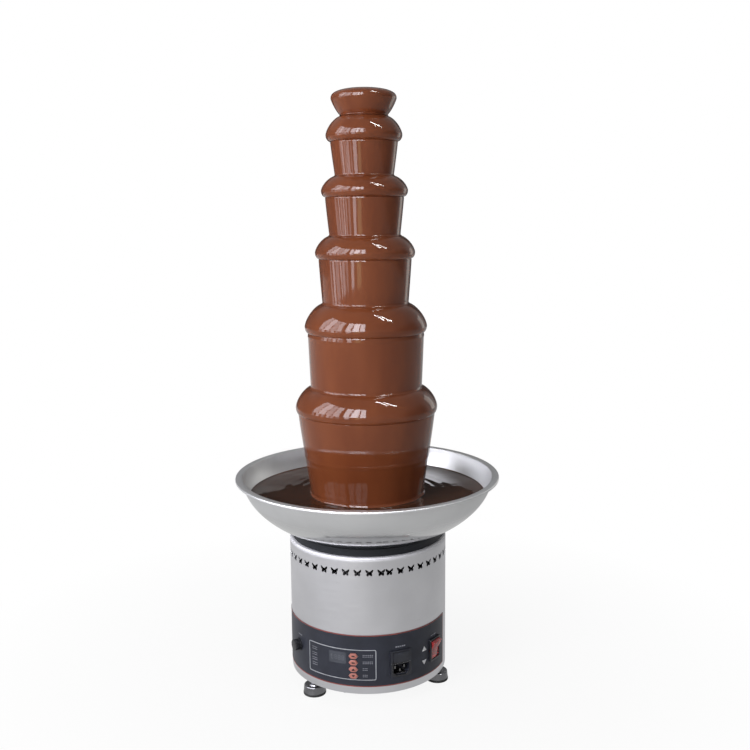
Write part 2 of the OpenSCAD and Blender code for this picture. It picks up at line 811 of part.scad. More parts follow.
module control_board() {
    color([0.12, 0.32, 0.2]) rotate([0, 0, key_at]) {
        difference() {
            translate([-board_left, -board_y, housing_z + board_low])
                cube([board_left + board_right, board_t, board_high - board_low]);
            for (p = board_posts())
                translate([p[0], 0, housing_z + p[1]])
                    outward(board_y - board_t - 1, board_y + 1) circle(1.7);
        }
        for (k = [0:3])
            translate([-3, -board_y - switch_pad_h, housing_z + key_z + k * key_pitch - 3])
                cube([6, switch_pad_h, 6]);
    }
}

module key(k) {
    face = face_r + key_proud;
    color([0.8, 0.47, 0.4]) on_panel(key_at, key_z + k * key_pitch) {
        outward(housing_bore - 1.6, face) key_outline(0);
        outward(housing_bore - 1.7, housing_bore - 0.7) round_rect(key_w + 2, key_h + 1.3, 1);
        outward(board_y + switch_pad_h + key_travel + 0.1, housing_bore - 1.6) circle(2);
    }
}

module socket_outline(grow) {
    w = socket_w / 2 + grow;
    h = socket_h / 2 + grow;
    cut = 5;
    polygon([[-w, h], [w, h], [w, cut - h], [w - cut, -h], [cut - w, -h], [-w, cut - h]]);
}

module inlet_body() {
    back = bezel_face - socket_d;
    color([0.11, 0.11, 0.12]) difference() {
        union() {
            difference() {
                on_panel(inlet_at, inlet_z) outward(housing_r - 3, bezel_face)
                    round_rect(inlet_w, inlet_h, 2);
                translate([0, 0, housing_z]) cylinder(r = bezel_back, h = housing_h, $fn = 96);
            }
            on_panel(inlet_at, inlet_z) outward(back - 8, housing_r + 1)
                square([inlet_w - 4.4, inlet_h - 6.4], center = true);
        }
        on_panel(inlet_at, socket_mid) outward(back, bezel_face + 1) socket_outline(0);
        on_panel(inlet_at, drawer_mid) {
            outward(back - 3, bezel_face + 1) square([drawer_w - 1.4, drawer_h - 3.4], center = true);
            outward(bezel_face - 1.2, bezel_face + 1) square([drawer_w + 0.6, drawer_h + 0.6], center = true);
        }
        on_panel(inlet_at, socket_mid) inlet_pin_places(seat_gap, back - 9, back + 1, back + 1);
    }
}

// Blades of the inlet between two distances from the axis, with a longer one for earth
module inlet_pin_places(grow, near, far, far_earth) {
    for (x = [-pin_pitch / 2, pin_pitch / 2])
        translate([x, 0, 1]) outward(near, far) square([2 + 2 * grow, 4 + 2 * grow], center = true);
    translate([0, 0, -3.5]) outward(near, far_earth) square([2 + 2 * grow, 4 + 2 * grow], center = true);
}

module inlet_pins() {
    back = bezel_face - socket_d;
    color([0.8, 0.8, 0.8]) on_panel(inlet_at, socket_mid)
        inlet_pin_places(0, back - 16, back + 9, back + 10);
}

module fuse_drawer() {
    back = bezel_face - socket_d;
    color([0.12, 0.12, 0.13]) on_panel(inlet_at, drawer_mid) {
        outward(bezel_face - 0.9, bezel_face + 0.8) round_rect(drawer_w, drawer_h, 1);
        outward(back - 2, bezel_face - 0.9) square([drawer_w - 2, drawer_h - 4], center = true);
        outward(bezel_face + 0.8, bezel_face + 1.6)
            translate([0, drawer_h / 2 - 2]) square([8, 2], center = true);
    }
}

module switch_bezel() {
    color([0.1, 0.1, 0.11]) difference() {
        union() {
            difference() {
                on_panel(switch_at, switch_z) outward(housing_r - 3, bezel_face)
                    round_rect(switch_w, switch_h, 2);
                translate([0, 0, housing_z]) cylinder(r = bezel_back, h = housing_h, $fn = 96);
            }
            on_panel(switch_at, switch_z) outward(rocker_pivot - 23, housing_r + 1)
                square([switch_w - 4, switch_h - 4], center = true);
        }
        on_panel(switch_at, switch_z) {
            outward(rocker_pivot - rocker_r - 1, bezel_face + 1)
                square([rocker_w + 2 * slide_gap, 2 * (rocker_r + slide_gap)], center = true);
            translate([-switch_w / 2, -rocker_pivot, 0]) rotate([0, 90, 0]) cylinder(r = 1.7, h = switch_w);
        }
    }
}

// Rocker, tipped as at rest with its upper end out; its side view is drawn with outwards as +x
module rocker() {
    tip = tan(rocker_tip);
    middle = 2.2;
    color([0.6, 0.13, 0.13]) on_panel(switch_at, switch_z) translate([0, -rocker_pivot, 0])
        rotate([rocker_tip, 0, 0]) {
            translate([-rocker_w / 2, 0, 0]) rotate([0, 0, -90]) rotate([90, 0, 0])
                mirror([0, 0, 1]) linear_extrude(rocker_w) intersection() {
                    circle(rocker_r);
                    polygon([
                        [-8, -rocker_r], [middle + rocker_r * tip, -rocker_r], [middle, 0],
                        [middle + rocker_r * tip, rocker_r], [-8, rocker_r]
                    ]);
                }
            translate([-rocker_w / 2 - 0.9, 0, 0]) rotate([0, 90, 0]) cylinder(r = 1.5, h = rocker_w + 1.8);
        }
}

module fuse_holder() {
    color([0.12, 0.12, 0.13]) difference() {
        union() {
            difference() {
                on_panel(fuse_at, fuse_z) outward(housing_r - 2, face_r + 2) circle(fuse_flange_r);
                translate([0, 0, housing_z]) cylinder(r = bezel_back, h = housing_h, $fn = 96);
            }
            on_panel(fuse_at, fuse_z) {
                outward(face_r - fuse_body_l, housing_r + 1) circle(fuse_body_r);
                outward(housing_bore - 4.6, housing_bore - 0.6) circle(fuse_body_r + 3, $fn = 6);
            }
        }
        on_panel(fuse_at, fuse_z) outward(face_r - fuse_body_l + 3, face_r + 3)
            circle(fuse_stem_r() + slide_gap);
    }
}

function fuse_stem_r() = fuse_body_r - 1.8;

module fuse_cap() {
    color([0.1, 0.1, 0.11]) on_panel(fuse_at, fuse_z) {
        outward(face_r + 2 + slide_gap, face_r + 2 + slide_gap + fuse_cap_h) difference() {
            circle(fuse_cap_r);
            for (k = [0:11])
                rotate(30 * k) translate([fuse_cap_r + 0.5, 0]) circle(1.1, $fn = 16);
        }
        outward(face_r - fuse_body_l + 6, face_r + 2 + slide_gap) circle(fuse_stem_r());
    }
}

// Round-ended outline of the gearbox, over the shaft's and the idler's axes
module gearbox_outline(r) {
    circle(r);
    translate([0, idler_y]) circle(r);
    translate([-r, 0]) square([2 * r, idler_y]);
}

module gearbox_case() {
    color([0.45, 0.46, 0.48]) difference() {
        translate([0, 0, gearbox_z]) linear_extrude(cover_z - gearbox_z) gearbox_outline(gearbox_r);
        translate([0, 0, case_floor]) linear_extrude(gearbox_h) gearbox_outline(gearbox_r - gearbox_t);
        translate([0, 0, gearbox_z - 1]) {
            cylinder(r = shaft_r + 2.1, h = gearbox_floor + 2);
            translate([0, idler_y, 0]) cylinder(r = idler_r + 2.1, h = gearbox_floor + 2);
            translate([0, motor_y, 0]) cylinder(r = motor_shaft_r + 0.3, h = gearbox_floor + 2);
        }
    }
}

module gearbox_cover() {
    color([0.5, 0.51, 0.53]) difference() {
        translate([0, 0, cover_z]) linear_extrude(gearbox_floor) gearbox_outline(gearbox_r);
        translate([0, 0, cover_z - 1]) cylinder(r = shaft_r + 2.1, h = gearbox_floor + 2);
        translate([0, idler_y, cover_z - 1]) cylinder(r = idler_r + 2.1, h = gearbox_floor + 2);
    }
}

module gearbox_pillars() {
    color([0.7, 0.7, 0.72])
        for (x = [-pillar_x, pillar_x], y = pillar_y)
            translate([x, y, cover_top]) cylinder(r = pillar_r, h = pillar_h);
}

module gearbox_bushes() {
    color([0.72, 0.55, 0.32])
        for (z = [gearbox_z + 0.2, cover_z - 1])
            translate([0, 0, z]) {
                tube(shaft_r + 2, shaft_r + bush_gap, gearbox_floor + 1.4);
                translate([0, idler_y, 0]) tube(idler_r + 2, idler_r + bush_gap, gearbox_floor + 1.4);
            }
}

module motor_can() {
    color([0.35, 0.36, 0.38]) translate([0, motor_y, motor_z]) {
        difference() {
            cylinder(r = motor_r, h = motor_h);
            translate([0, 0, 3]) cylinder(r = motor_r - 2.5, h = motor_h - 7);
            translate([0, 0, 1]) cylinder(r = motor_shaft_r + bush_gap, h = motor_h);
        }
        for (a = [20, 200])
            rotate([0, 0, a]) translate([0, 0, rotor_low - 4]) rotate_extrude(angle = 140)
                translate([rotor_r + 1.5, 0]) square([motor_r - 2.5 - rotor_r - 1.5, rotor_h + 8]);
    }
}

module motor_rotor() {
    color([0.6, 0.45, 0.3]) translate([0, motor_y, motor_z]) {
        translate([0, 0, 1.5]) cylinder(r = motor_shaft_r, h = gear_in_z - motor_z - 1.2);
        translate([0, 0, rotor_low]) cylinder(r = rotor_r, h = rotor_h);
        translate([0, 0, 8]) cylinder(r = motor_shaft_r + 5, h = 6);
    }
    color([0.6, 0.6, 0.6]) translate([0, motor_y, gear_in_z - 0.3]) rotate([0, 0, 90 + 180 / teeth_motor])
        spur_gear(module_in, teeth_motor, gear_in_w + 0.6);
}

module idler_gear() {
    color([0.75, 0.74, 0.7]) translate([0, idler_y, 0]) {
        translate([0, 0, gear_in_z]) rotate([0, 0, -90]) spur_gear(module_in, teeth_idler, gear_in_w);
        translate([0, 0, gear_in_z + gear_in_w]) cylinder(r = idler_r + 2, h = 4.5);
        translate([0, 0, gear_out_z - 0.5]) rotate([0, 0, 270 + 180 / teeth_pinion])
            spur_gear(module_out, teeth_pinion, gear_out_w + 1);
        translate([0, 0, gearbox_z + 0.6]) cylinder(r = idler_r, h = gearbox_h - 1);
    }
}

module output_gear() {
    color([0.75, 0.74, 0.7]) difference() {
        union() {
            translate([0, 0, gear_out_z]) rotate([0, 0, 90]) spur_gear(module_out, teeth_out, gear_out_w);
            translate([0, 0, gear_out_z - 3]) cylinder(r = shaft_r + 5, h = 3);
        }
        translate([0, 0, gear_out_z - 4]) cylinder(r = shaft_r + 0.05, h = gear_out_w + 5);
    }
}

module drive_shaft() {
    color([0.75, 0.75, 0.77]) difference() {
        translate([0, 0, shaft_z]) cylinder(r = shaft_r, h = shaft_top - shaft_z);
        translate([-shaft_r - 1, 0, pin_z]) rotate([0, 90, 0])
            cylinder(r = pin_r + 0.02, h = 2 * shaft_r + 2);
    }
}

module drive_pin() {
    color([0.8, 0.8, 0.82]) translate([-pin_l / 2, 0, pin_z]) rotate([0, 90, 0])
        cylinder(r = pin_r, h = pin_l);
}

module auger_core() {
    color([0.76, 0.76, 0.77]) difference() {
        rotate_extrude() polygon([
            [0, socket_z], [hub_r + slide_gap + 0.2, socket_z], [hub_r + slide_gap + 0.2, auger_z],
            [skirt_r, auger_z], [skirt_r, skirt_top - 6], [core_r, skirt_top + 4],
            [core_r, auger_top - 3], [core_r - 3, auger_top], [0, auger_top]
        ]);
        translate([0, 0, socket_z - 1]) cylinder(r = shaft_r + bush_gap, h = shaft_top - socket_z + 1.5);
        translate([-skirt_r - 1, -pin_r - slide_gap, socket_z - 1])
            cube([2 * skirt_r + 2, 2 * (pin_r + slide_gap), pin_z + pin_r + slide_gap - socket_z + 1]);
    }
}

// Flight's outline seen from above, which the twist winds up the core
module flight_outline(inner) {
    polygon(concat(
        [for (a = [-1, 0, 1]) flight_r * [cos(a * flight_angle / 2), sin(a * flight_angle / 2)]],
        [for (a = [1, -1]) inner * [cos(a * flight_angle / 2), sin(a * flight_angle / 2)]]
    ));
}

module flight_run(inner, low, high) {
    turn = 360 / flight_pitch;
    steps = round((high - low) * turn / 15);
    translate([0, 0, low]) rotate([0, 0, (low - auger_z) * turn])
        linear_extrude(high - low, twist = (low - high) * turn, slices = steps, segments = 5)
            flight_outline(inner);
}

module auger_flight() {
    color([0.76, 0.76, 0.77]) {
        flight_run(skirt_r + 0.4, auger_z, skirt_top + 4);
        flight_run(core_r + 0.25, skirt_top + 4.2, auger_top - 4);
    }
}

module tower_tube() {
    color([0.76, 0.76, 0.77]) difference() {
        translate([0, 0, tube_z]) tube(tube_r, tube_r - tube_t, tube_h);
        for (a = [0, 90])
            rotate([0, 0, a]) translate([-slot_w / 2, -tube_r - 1, tube_z - 1])
                cube([slot_w, 2 * tube_r + 2, slot_h + 1]);
    }
}

// Steel tier i, counted from 0 at the top, with its collar on the tube
module tier(i) {
    r = tier_r[i] - under_film;
    neck = tier_neck[i] - film;
    h = tier_dome[i] - under_film;
    z = tier_z[i];
    top = z + h + tier_slope * (tier_neck[i] - tier_neck[0]);
    foot = top - tier_collar_h;
    color([0.76, 0.76, 0.77]) rotate_extrude() polygon(concat(
        [[collar_in, foot], [collar_in, top]],
        quarter(neck, r, h, z, dome_power),
        edge(r, edge_in[i], z, 0.5),
        backwards(edge(r - tier_t, edge_in[i], z, 0.5)),
        backwards(quarter(neck, r - tier_t, h - tier_t, z, dome_power)),
        [[collar_in + tier_collar, top - tier_t - 0.2], [collar_in + tier_collar, foot]]
    ));
}

// Chocolate on tier i and the curtain that falls from it
module curtain(i) {
    neck = tier_neck[i];
    r = tier_r[i];
    z = tier_z[i];
    h = tier_dome[i];
    edge_z = z - edge_drop;
    color([0.36, 0.2, 0.13]) rotate_extrude() polygon(concat(
        [[neck - film, z + h]],
        quarter(neck, r, h, z, dome_power),
        edge(r, edge_in[i], z, 1),
        fall(r - edge_in[i], edge_z, curtain_foot[i], landing[i]),
        backwards(fall(r - edge_in[i] - film, edge_z, curtain_foot[i] - film, landing[i])),
        backwards(edge(r - film, edge_in[i], z, 1)),
        backwards(quarter(neck - film, r - film, h - film, z, dome_power))
    ));
}

module crown() {
    out = crown_neck - under_film;
    wide = crown_r - under_film;
    floor_drop = crown_floor - crown_rim_z;
    color([0.76, 0.76, 0.77]) rotate_extrude() polygon(concat(
        [
            [collar_in, crown_seat], [collar_in + socket_wall, crown_seat],
            [collar_in + socket_wall, crown_foot], [out, crown_foot]
        ],
        quarter(out, wide, -crown_cup, crown_wide, crown_round),
        [[wide, crown_rim_z]],
        backwards(quarter(crown_floor_r, wide - crown_wall, floor_drop, crown_rim_z, crown_round)),
        [
            [tube_r - tube_t, crown_floor], [tube_r - tube_t, crown_floor - crown_stop],
            [collar_in, crown_floor - crown_stop]
        ]
    ));
}

module crown_chocolate() {
    inside = crown_r - under_film - crown_wall - seat_gap;
    floor_drop = crown_floor + seat_gap - crown_rim_z;
    dome = quarter(0, crown_r, crown_dome, crown_wide, top_round);
    color([0.4, 0.23, 0.15]) rotate_extrude() polygon(concat(
        [[crown_neck - film, crown_foot], [crown_neck, crown_foot]],
        quarter(crown_neck, crown_r, -crown_cup, crown_wide, crown_round),
        backwards([for (p = dome) if (p[1] > crown_wide + 0.01) p]),
        [[0, crown_floor + seat_gap]],
        quarter(crown_floor_r - seat_gap, inside, floor_drop, crown_rim_z, crown_round),
        [[inside, crown_rim_z + seat_gap], [crown_r - film, crown_rim_z + seat_gap]],
        backwards(quarter(crown_neck - film, crown_r - film, -crown_cup, crown_wide, crown_round))
    ));
}

module chocolate_pool() {
    bore = tube_r + slide_gap;
    gap = basin_t + seat_gap;
    color([0.27, 0.2, 0.16]) rotate_extrude() polygon(concat(
        [[bore, floor_z + seat_gap]],
        bowl_side(floor_z + seat_gap, pool_top, gap),
        [[bore, pool_top]]
    ));
}

module foot(k) {
    cup_top = sole_t + foot_cup_h;
    color([0.66, 0.66, 0.67]) rotate([0, 0, foot_start + 120 * k]) translate([0, -foot_ring, 0]) {
        rotate_extrude() polygon([
            [0, sole_t], [foot_r - 0.4, sole_t], [foot_r - 1.2, cup_top - 2.6],
            [foot_r - 2.6, cup_top - 1.2], [stud_r + 4.5, cup_top], [0, cup_top]
        ]);
        translate([0, 0, cup_top]) cylinder(r = stud_r + 3, h = foot_nut_h, $fn = 6);
        translate([0, 0, cup_top]) cylinder(r = stud_r, h = foot_nut_h + stud_hold + foot_travel);
    }
}

module foot_sole(k) {
    color([0.1, 0.1, 0.1]) rotate([0, 0, foot_start + 120 * k]) translate([0, -foot_ring, 0])
        cylinder(r = foot_r, h = sole_t);
}

housing_shell();
base_plate();
base_screws();
top_plate();
insulating_collar();
basin();
basin_hub();
shaft_seal();
shaft_bushes();
heater_plate();
thermostat();
basin_fixings();
panel_overlay();
display_window();
display_module();
control_board();
inlet_body();
inlet_pins();
switch_bezel();
fuse_holder();
gearbox_case();
gearbox_cover();
gearbox_pillars();
gearbox_bushes();
motor_can();
chocolate_pool();
drive_shaft();
drive_pin();
output_gear();
auger_core();
auger_flight();
idler_gear();
motor_rotor();
tower_tube();
tier(0);  // tier_1
tier(1);  // tier_2
tier(2);  // tier_3
tier(3);  // tier_4
tier(4);  // tier_5
curtain(0);  // curtain_1
curtain(1);  // curtain_2
curtain(2);  // curtain_3
curtain(3);  // curtain_4
curtain(4);  // curtain_5
crown();
crown_chocolate();
rocker();
fuse_drawer();
fuse_cap();
key(0);  // key_1
key(1);  // key_2
key(2);  // key_3
key(3);  // key_4
foot(0);  // foot_1
foot(1);  // foot_2
foot(2);  // foot_3
foot_sole(0);  // foot_sole_1
foot_sole(1);  // foot_sole_2
foot_sole(2);  // foot_sole_3
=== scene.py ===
"""Looks of a six-level chocolate fountain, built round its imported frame.

Metres throughout, +Z up and the control panel towards -Y. An angle on the base is in degrees from the
front, positive towards +X. Sizes that a maker reads in millimetres are written as a number times MM.
"""

import json
from collections import namedtuple
from math import cos, exp, hypot, pi, radians, sin, sqrt

import bmesh
import bpy
from mathutils import Matrix, Vector, noise


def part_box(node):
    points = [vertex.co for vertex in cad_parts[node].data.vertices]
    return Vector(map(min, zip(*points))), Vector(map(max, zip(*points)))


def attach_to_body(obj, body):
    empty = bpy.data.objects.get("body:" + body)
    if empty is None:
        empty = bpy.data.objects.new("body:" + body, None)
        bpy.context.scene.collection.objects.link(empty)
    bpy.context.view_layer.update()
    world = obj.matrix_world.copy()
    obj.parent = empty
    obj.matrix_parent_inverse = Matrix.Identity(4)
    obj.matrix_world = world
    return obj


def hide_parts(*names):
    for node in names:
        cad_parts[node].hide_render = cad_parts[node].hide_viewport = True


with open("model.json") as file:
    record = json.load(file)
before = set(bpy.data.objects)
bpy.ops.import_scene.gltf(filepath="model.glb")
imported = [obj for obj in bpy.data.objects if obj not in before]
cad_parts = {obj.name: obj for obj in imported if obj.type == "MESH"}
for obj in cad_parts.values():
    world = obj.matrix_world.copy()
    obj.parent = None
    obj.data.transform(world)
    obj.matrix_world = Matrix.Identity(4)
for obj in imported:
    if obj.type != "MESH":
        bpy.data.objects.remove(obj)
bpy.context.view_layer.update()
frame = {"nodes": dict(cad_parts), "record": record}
NODES = frame["nodes"]

MM = 0.001
TINY = 0.001 * MM  # points closer than this are one

# Base and basin
FACE_R = 115.45 * MM
FOOT_RING = 106 * MM
FOOT_START = -48
SCREW_RING = 109.8 * MM
COLLAR_R = 110.5 * MM
COLLAR_BORE = 100 * MM
BOWL_R = 183.5 * MM
BOWL_ROUND = 104.9 * MM
BOWL_MIDDLE = 313.6 * MM
BOWL_FLOOR = 223.5 * MM
SHEET = 1.5 * MM
RIM_R = 192 * MM
RIM_TOP = 308 * MM
POOL_TOP = 280 * MM
HUB_BORE = 10.3 * MM

# Chocolate
FILM = 1.6 * MM
EDGE_DROP = 9 * MM
CREASE = 1.12
FALL_POWER = 1.1
DOME_POWER = 1.5
Tier = namedtuple("Tier", "radius widest dome neck foot edge")
TIERS = [
    Tier(53.4 * MM, 790.5 * MM, 25 * MM, 33.2 * MM, 41.2 * MM, 6.2 * MM),
    Tier(60.9 * MM, 715 * MM, 20 * MM, 41.2 * MM, 50.1 * MM, 5.5 * MM),
    Tier(70.7 * MM, 629.5 * MM, 23 * MM, 50.1 * MM, 61.3 * MM, 4.9 * MM),
    Tier(87.4 * MM, 525 * MM, 32 * MM, 61.3 * MM, 80.3 * MM, 4.2 * MM),
    Tier(102.4 * MM, 409 * MM, 28 * MM, 80.3 * MM, 82 * MM, 3.5 * MM),
]
CROWN_R = 45.5 * MM
CROWN_WIDE = 839 * MM
CROWN_CUP = 21.5 * MM
CROWN_DOME = 14 * MM
CROWN_FLOOR = 827.5 * MM
CROWN_FLOOR_R = 33.9 * MM
CROWN_INSIDE_R = 42.4 * MM
CROWN_RIM = 840 * MM
CUP_POWER = 1.2
CROWN_DOME_POWER = 2.65
FLOW_STEPS = 216
FLOW_SMOOTH = 60

# Control panel
KEY_ANGLE = -11
DISPLAY = (-28.8, -16.1, 63 * MM, 80 * MM)
FRAME_LINE = (-47.2, 5, 40 * MM, 85 * MM)
OVERLAY = (-95, 70, 30 * MM, 106.5 * MM)
INLET_ANGLE = 22.5
SWITCH_ANGLE = 54.5
ROCKER_MARKS_ANGLE = 43
FUSE_ANGLE = -60.5
PRINT_UP = 0.06 * MM
KEY_FACE = 116.5 * MM
SEGMENT_FACE = 116 * MM
INLET_FACE = 117.95 * MM
SOCKET_HEIGHT = 53.25 * MM


# Materials

NOISE_SPAN = (0.3, 0.7)  # most of a noise texture's values lie here
WHITE = (1, 1, 1, 1)


def add_node(tree, kind, inputs=None, **settings):
    """A node with its settings, and its inputs linked to a socket or set to a value."""
    made = tree.nodes.new(kind)
    for name, value in settings.items():
        setattr(made, name, value)
    for name, value in (inputs or {}).items():
        if isinstance(value, bpy.types.NodeSocket):
            tree.links.new(value, made.inputs[name])
        else:
            made.inputs[name].default_value = value
    return made


def math_node(tree, operation, *values):
    """Result of a sum on numbers or sockets."""
    return add_node(tree, "ShaderNodeMath", dict(enumerate(values)), operation=operation).outputs[0]


def vector_math(tree, operation, inputs, output="Vector"):
    """Result of a sum on vectors, a vector or its Value."""
    return add_node(tree, "ShaderNodeVectorMath", inputs, operation=operation).outputs[output]


def map_range(tree, value, span, to_span=(0, 1)):
    """A value carried from one span over to another, and held at its ends."""
    low, high = span
    to_low, to_high = to_span
    inputs = {"Value": value, "From Min": low, "From Max": high, "To Min": to_low, "To Max": to_high}
    return add_node(tree, "ShaderNodeMapRange", inputs).outputs["Result"]


def plain_light(tree, kind, strength, colour=WHITE):
    """Emission or background at a strength, white where no colour is given."""
    return add_node(tree, kind, {"Color": colour, "Strength": strength}).outputs[0]


def mix_shaders(tree, share, first, second):
    return add_node(tree, "ShaderNodeMixShader", {0: share, 1: first, 2: second}).outputs[0]


def value_group(name, sizes):
    """An empty group with one number input for each size and one output, Value."""
    tree = bpy.data.node_groups.new(name, "ShaderNodeTree")
    for label, default in sizes.items():
        socket = tree.interface.new_socket(label, in_out="INPUT", socket_type="NodeSocketFloat")
        socket.default_value = default
    tree.interface.new_socket("Value", in_out="OUTPUT", socket_type="NodeSocketFloat")
    return tree, tree.nodes.new("NodeGroupInput").outputs, tree.nodes.new("NodeGroupOutput").inputs


def turned_pattern_group():
    """Uneven bands that run round the axis or down it: counts round, along the height and outwards."""
    tree, given, out = value_group("turned_pattern", {"Around": 4, "Up": 10, "Out": 0, "Detail": 2})
    place = add_node(tree, "ShaderNodeTexCoord").outputs["Object"]
    split = add_node(tree, "ShaderNodeSeparateXYZ", {"Vector": place}).outputs
    flat = add_node(tree, "ShaderNodeCombineXYZ", {"X": split["X"], "Y": split["Y"]}).outputs["Vector"]
    radius = vector_math(tree, "LENGTH", {0: flat}, "Value")
    unit = vector_math(tree, "NORMALIZE", {0: flat})
    round_part = vector_math(tree, "SCALE", {0: unit, "Scale": given["Around"]})
    up = math_node(tree, "MULTIPLY", split["Z"], given["Up"])
    both = math_node(tree, "MULTIPLY_ADD", radius, given["Out"], up)
    high = add_node(tree, "ShaderNodeCombineXYZ", {"Z": both}).outputs["Vector"]
    where = vector_math(tree, "ADD", {0: round_part, 1: high})
    inputs = {"Vector": where, "Scale": 1, "Detail": given["Detail"]}
    found = add_node(tree, "ShaderNodeTexNoise", inputs)
    tree.links.new(found.outputs["Fac"], out["Value"])
    return tree


def speckle_group():
    """Even cloudy pattern, for smudges when coarse and for moulded grain when fine."""
    tree, given, out = value_group("speckle", {"Scale": 20, "Detail": 3})
    place = add_node(tree, "ShaderNodeTexCoord").outputs["Object"]
    inputs = {"Vector": place, "Scale": given["Scale"], "Detail": given["Detail"]}
    found = add_node(tree, "ShaderNodeTexNoise", inputs)
    tree.links.new(found.outputs["Fac"], out["Value"])
    return tree


def group_node(tree, group, sizes):
    """Value of a group with its inputs set."""
    made = tree.nodes.new("ShaderNodeGroup")
    made.node_tree = group
    for name, value in sizes.items():
        made.inputs[name].default_value = value
    return made.outputs["Value"]


def satin_upwards_group():
    """Rises between two heights over fine turned lines, for steel that is satin above its shinier part."""
    inputs = {"Low": 0.256, "High": 0.285, "Lines": 0.1, "Around": 2, "Up": 900, "Out": 900}
    tree, given, out = value_group("satin_upwards", inputs)
    place = add_node(tree, "ShaderNodeTexCoord").outputs["Object"]
    height = add_node(tree, "ShaderNodeSeparateXYZ", {"Vector": place}).outputs["Z"]
    level = map_range(tree, height, (given["Low"], given["High"]), NOISE_SPAN)
    lines = group_node(tree, TURNED, {"Detail": 2})
    for name in ("Around", "Up", "Out"):
        tree.links.new(given[name], lines.node.inputs[name])
    tree.links.new(math_node(tree, "MULTIPLY_ADD", lines, given["Lines"], level), out["Value"])
    return tree


TURNED = turned_pattern_group()
SPECKLE = speckle_group()
SATIN_UPWARDS = satin_upwards_group()


def finish(name, dark, light, rough, shade, grain, relief=0.0, **sockets):
    """A material: shade mixes its two colours, and grain spreads its roughness and raises its relief."""
    made = bpy.data.materials.new(name)
    made.use_nodes = True
    tree = made.node_tree
    shader = tree.nodes["Principled BSDF"]
    shade_value = group_node(tree, *shade)
    grain_value = group_node(tree, *grain)
    share = map_range(tree, shade_value, NOISE_SPAN)
    mixed = add_node(tree, "ShaderNodeMix", {"Factor": share}, data_type="RGBA")
    for socket in mixed.inputs:
        if socket.type == "RGBA":
            socket.default_value = (*dark, 1) if socket.name == "A" else (*light, 1)
    colour = next(socket for socket in mixed.outputs if socket.type == "RGBA")
    tree.links.new(colour, shader.inputs["Base Color"])
    tree.links.new(map_range(tree, grain_value, NOISE_SPAN, rough), shader.inputs["Roughness"])
    if relief:
        bump = add_node(tree, "ShaderNodeBump", {"Height": grain_value, "Distance": relief, "Strength": 1})
        tree.links.new(bump.outputs["Normal"], shader.inputs["Normal"])
    for label, value in sockets.items():
        shader.inputs[label.replace("_", " ")].default_value = value
    return made


def metal(name, tone, rough, shade, grain, relief=0.0):
    """Bare metal with smudges a little darker and lighter than its tone."""
    dark = tuple(c * 0.94 for c in tone)
    light = tuple(c * 1.06 for c in tone)
    return finish(name, dark, light, rough, shade, grain, relief, Metallic=1)


def plastic(name, tone, rough, grain_size=900, relief=0.02 * MM, **sockets):
    """Moulded or printed surface with a fine grain."""
    dark = tuple(c * 0.85 for c in tone)
    light = tuple(c * 1.15 for c in tone)
    shade = (SPECKLE, {"Scale": 45, "Detail": 3})
    grain = (SPECKLE, {"Scale": grain_size, "Detail": 2})
    return finish(name, dark, light, rough, shade, grain, relief, **sockets)


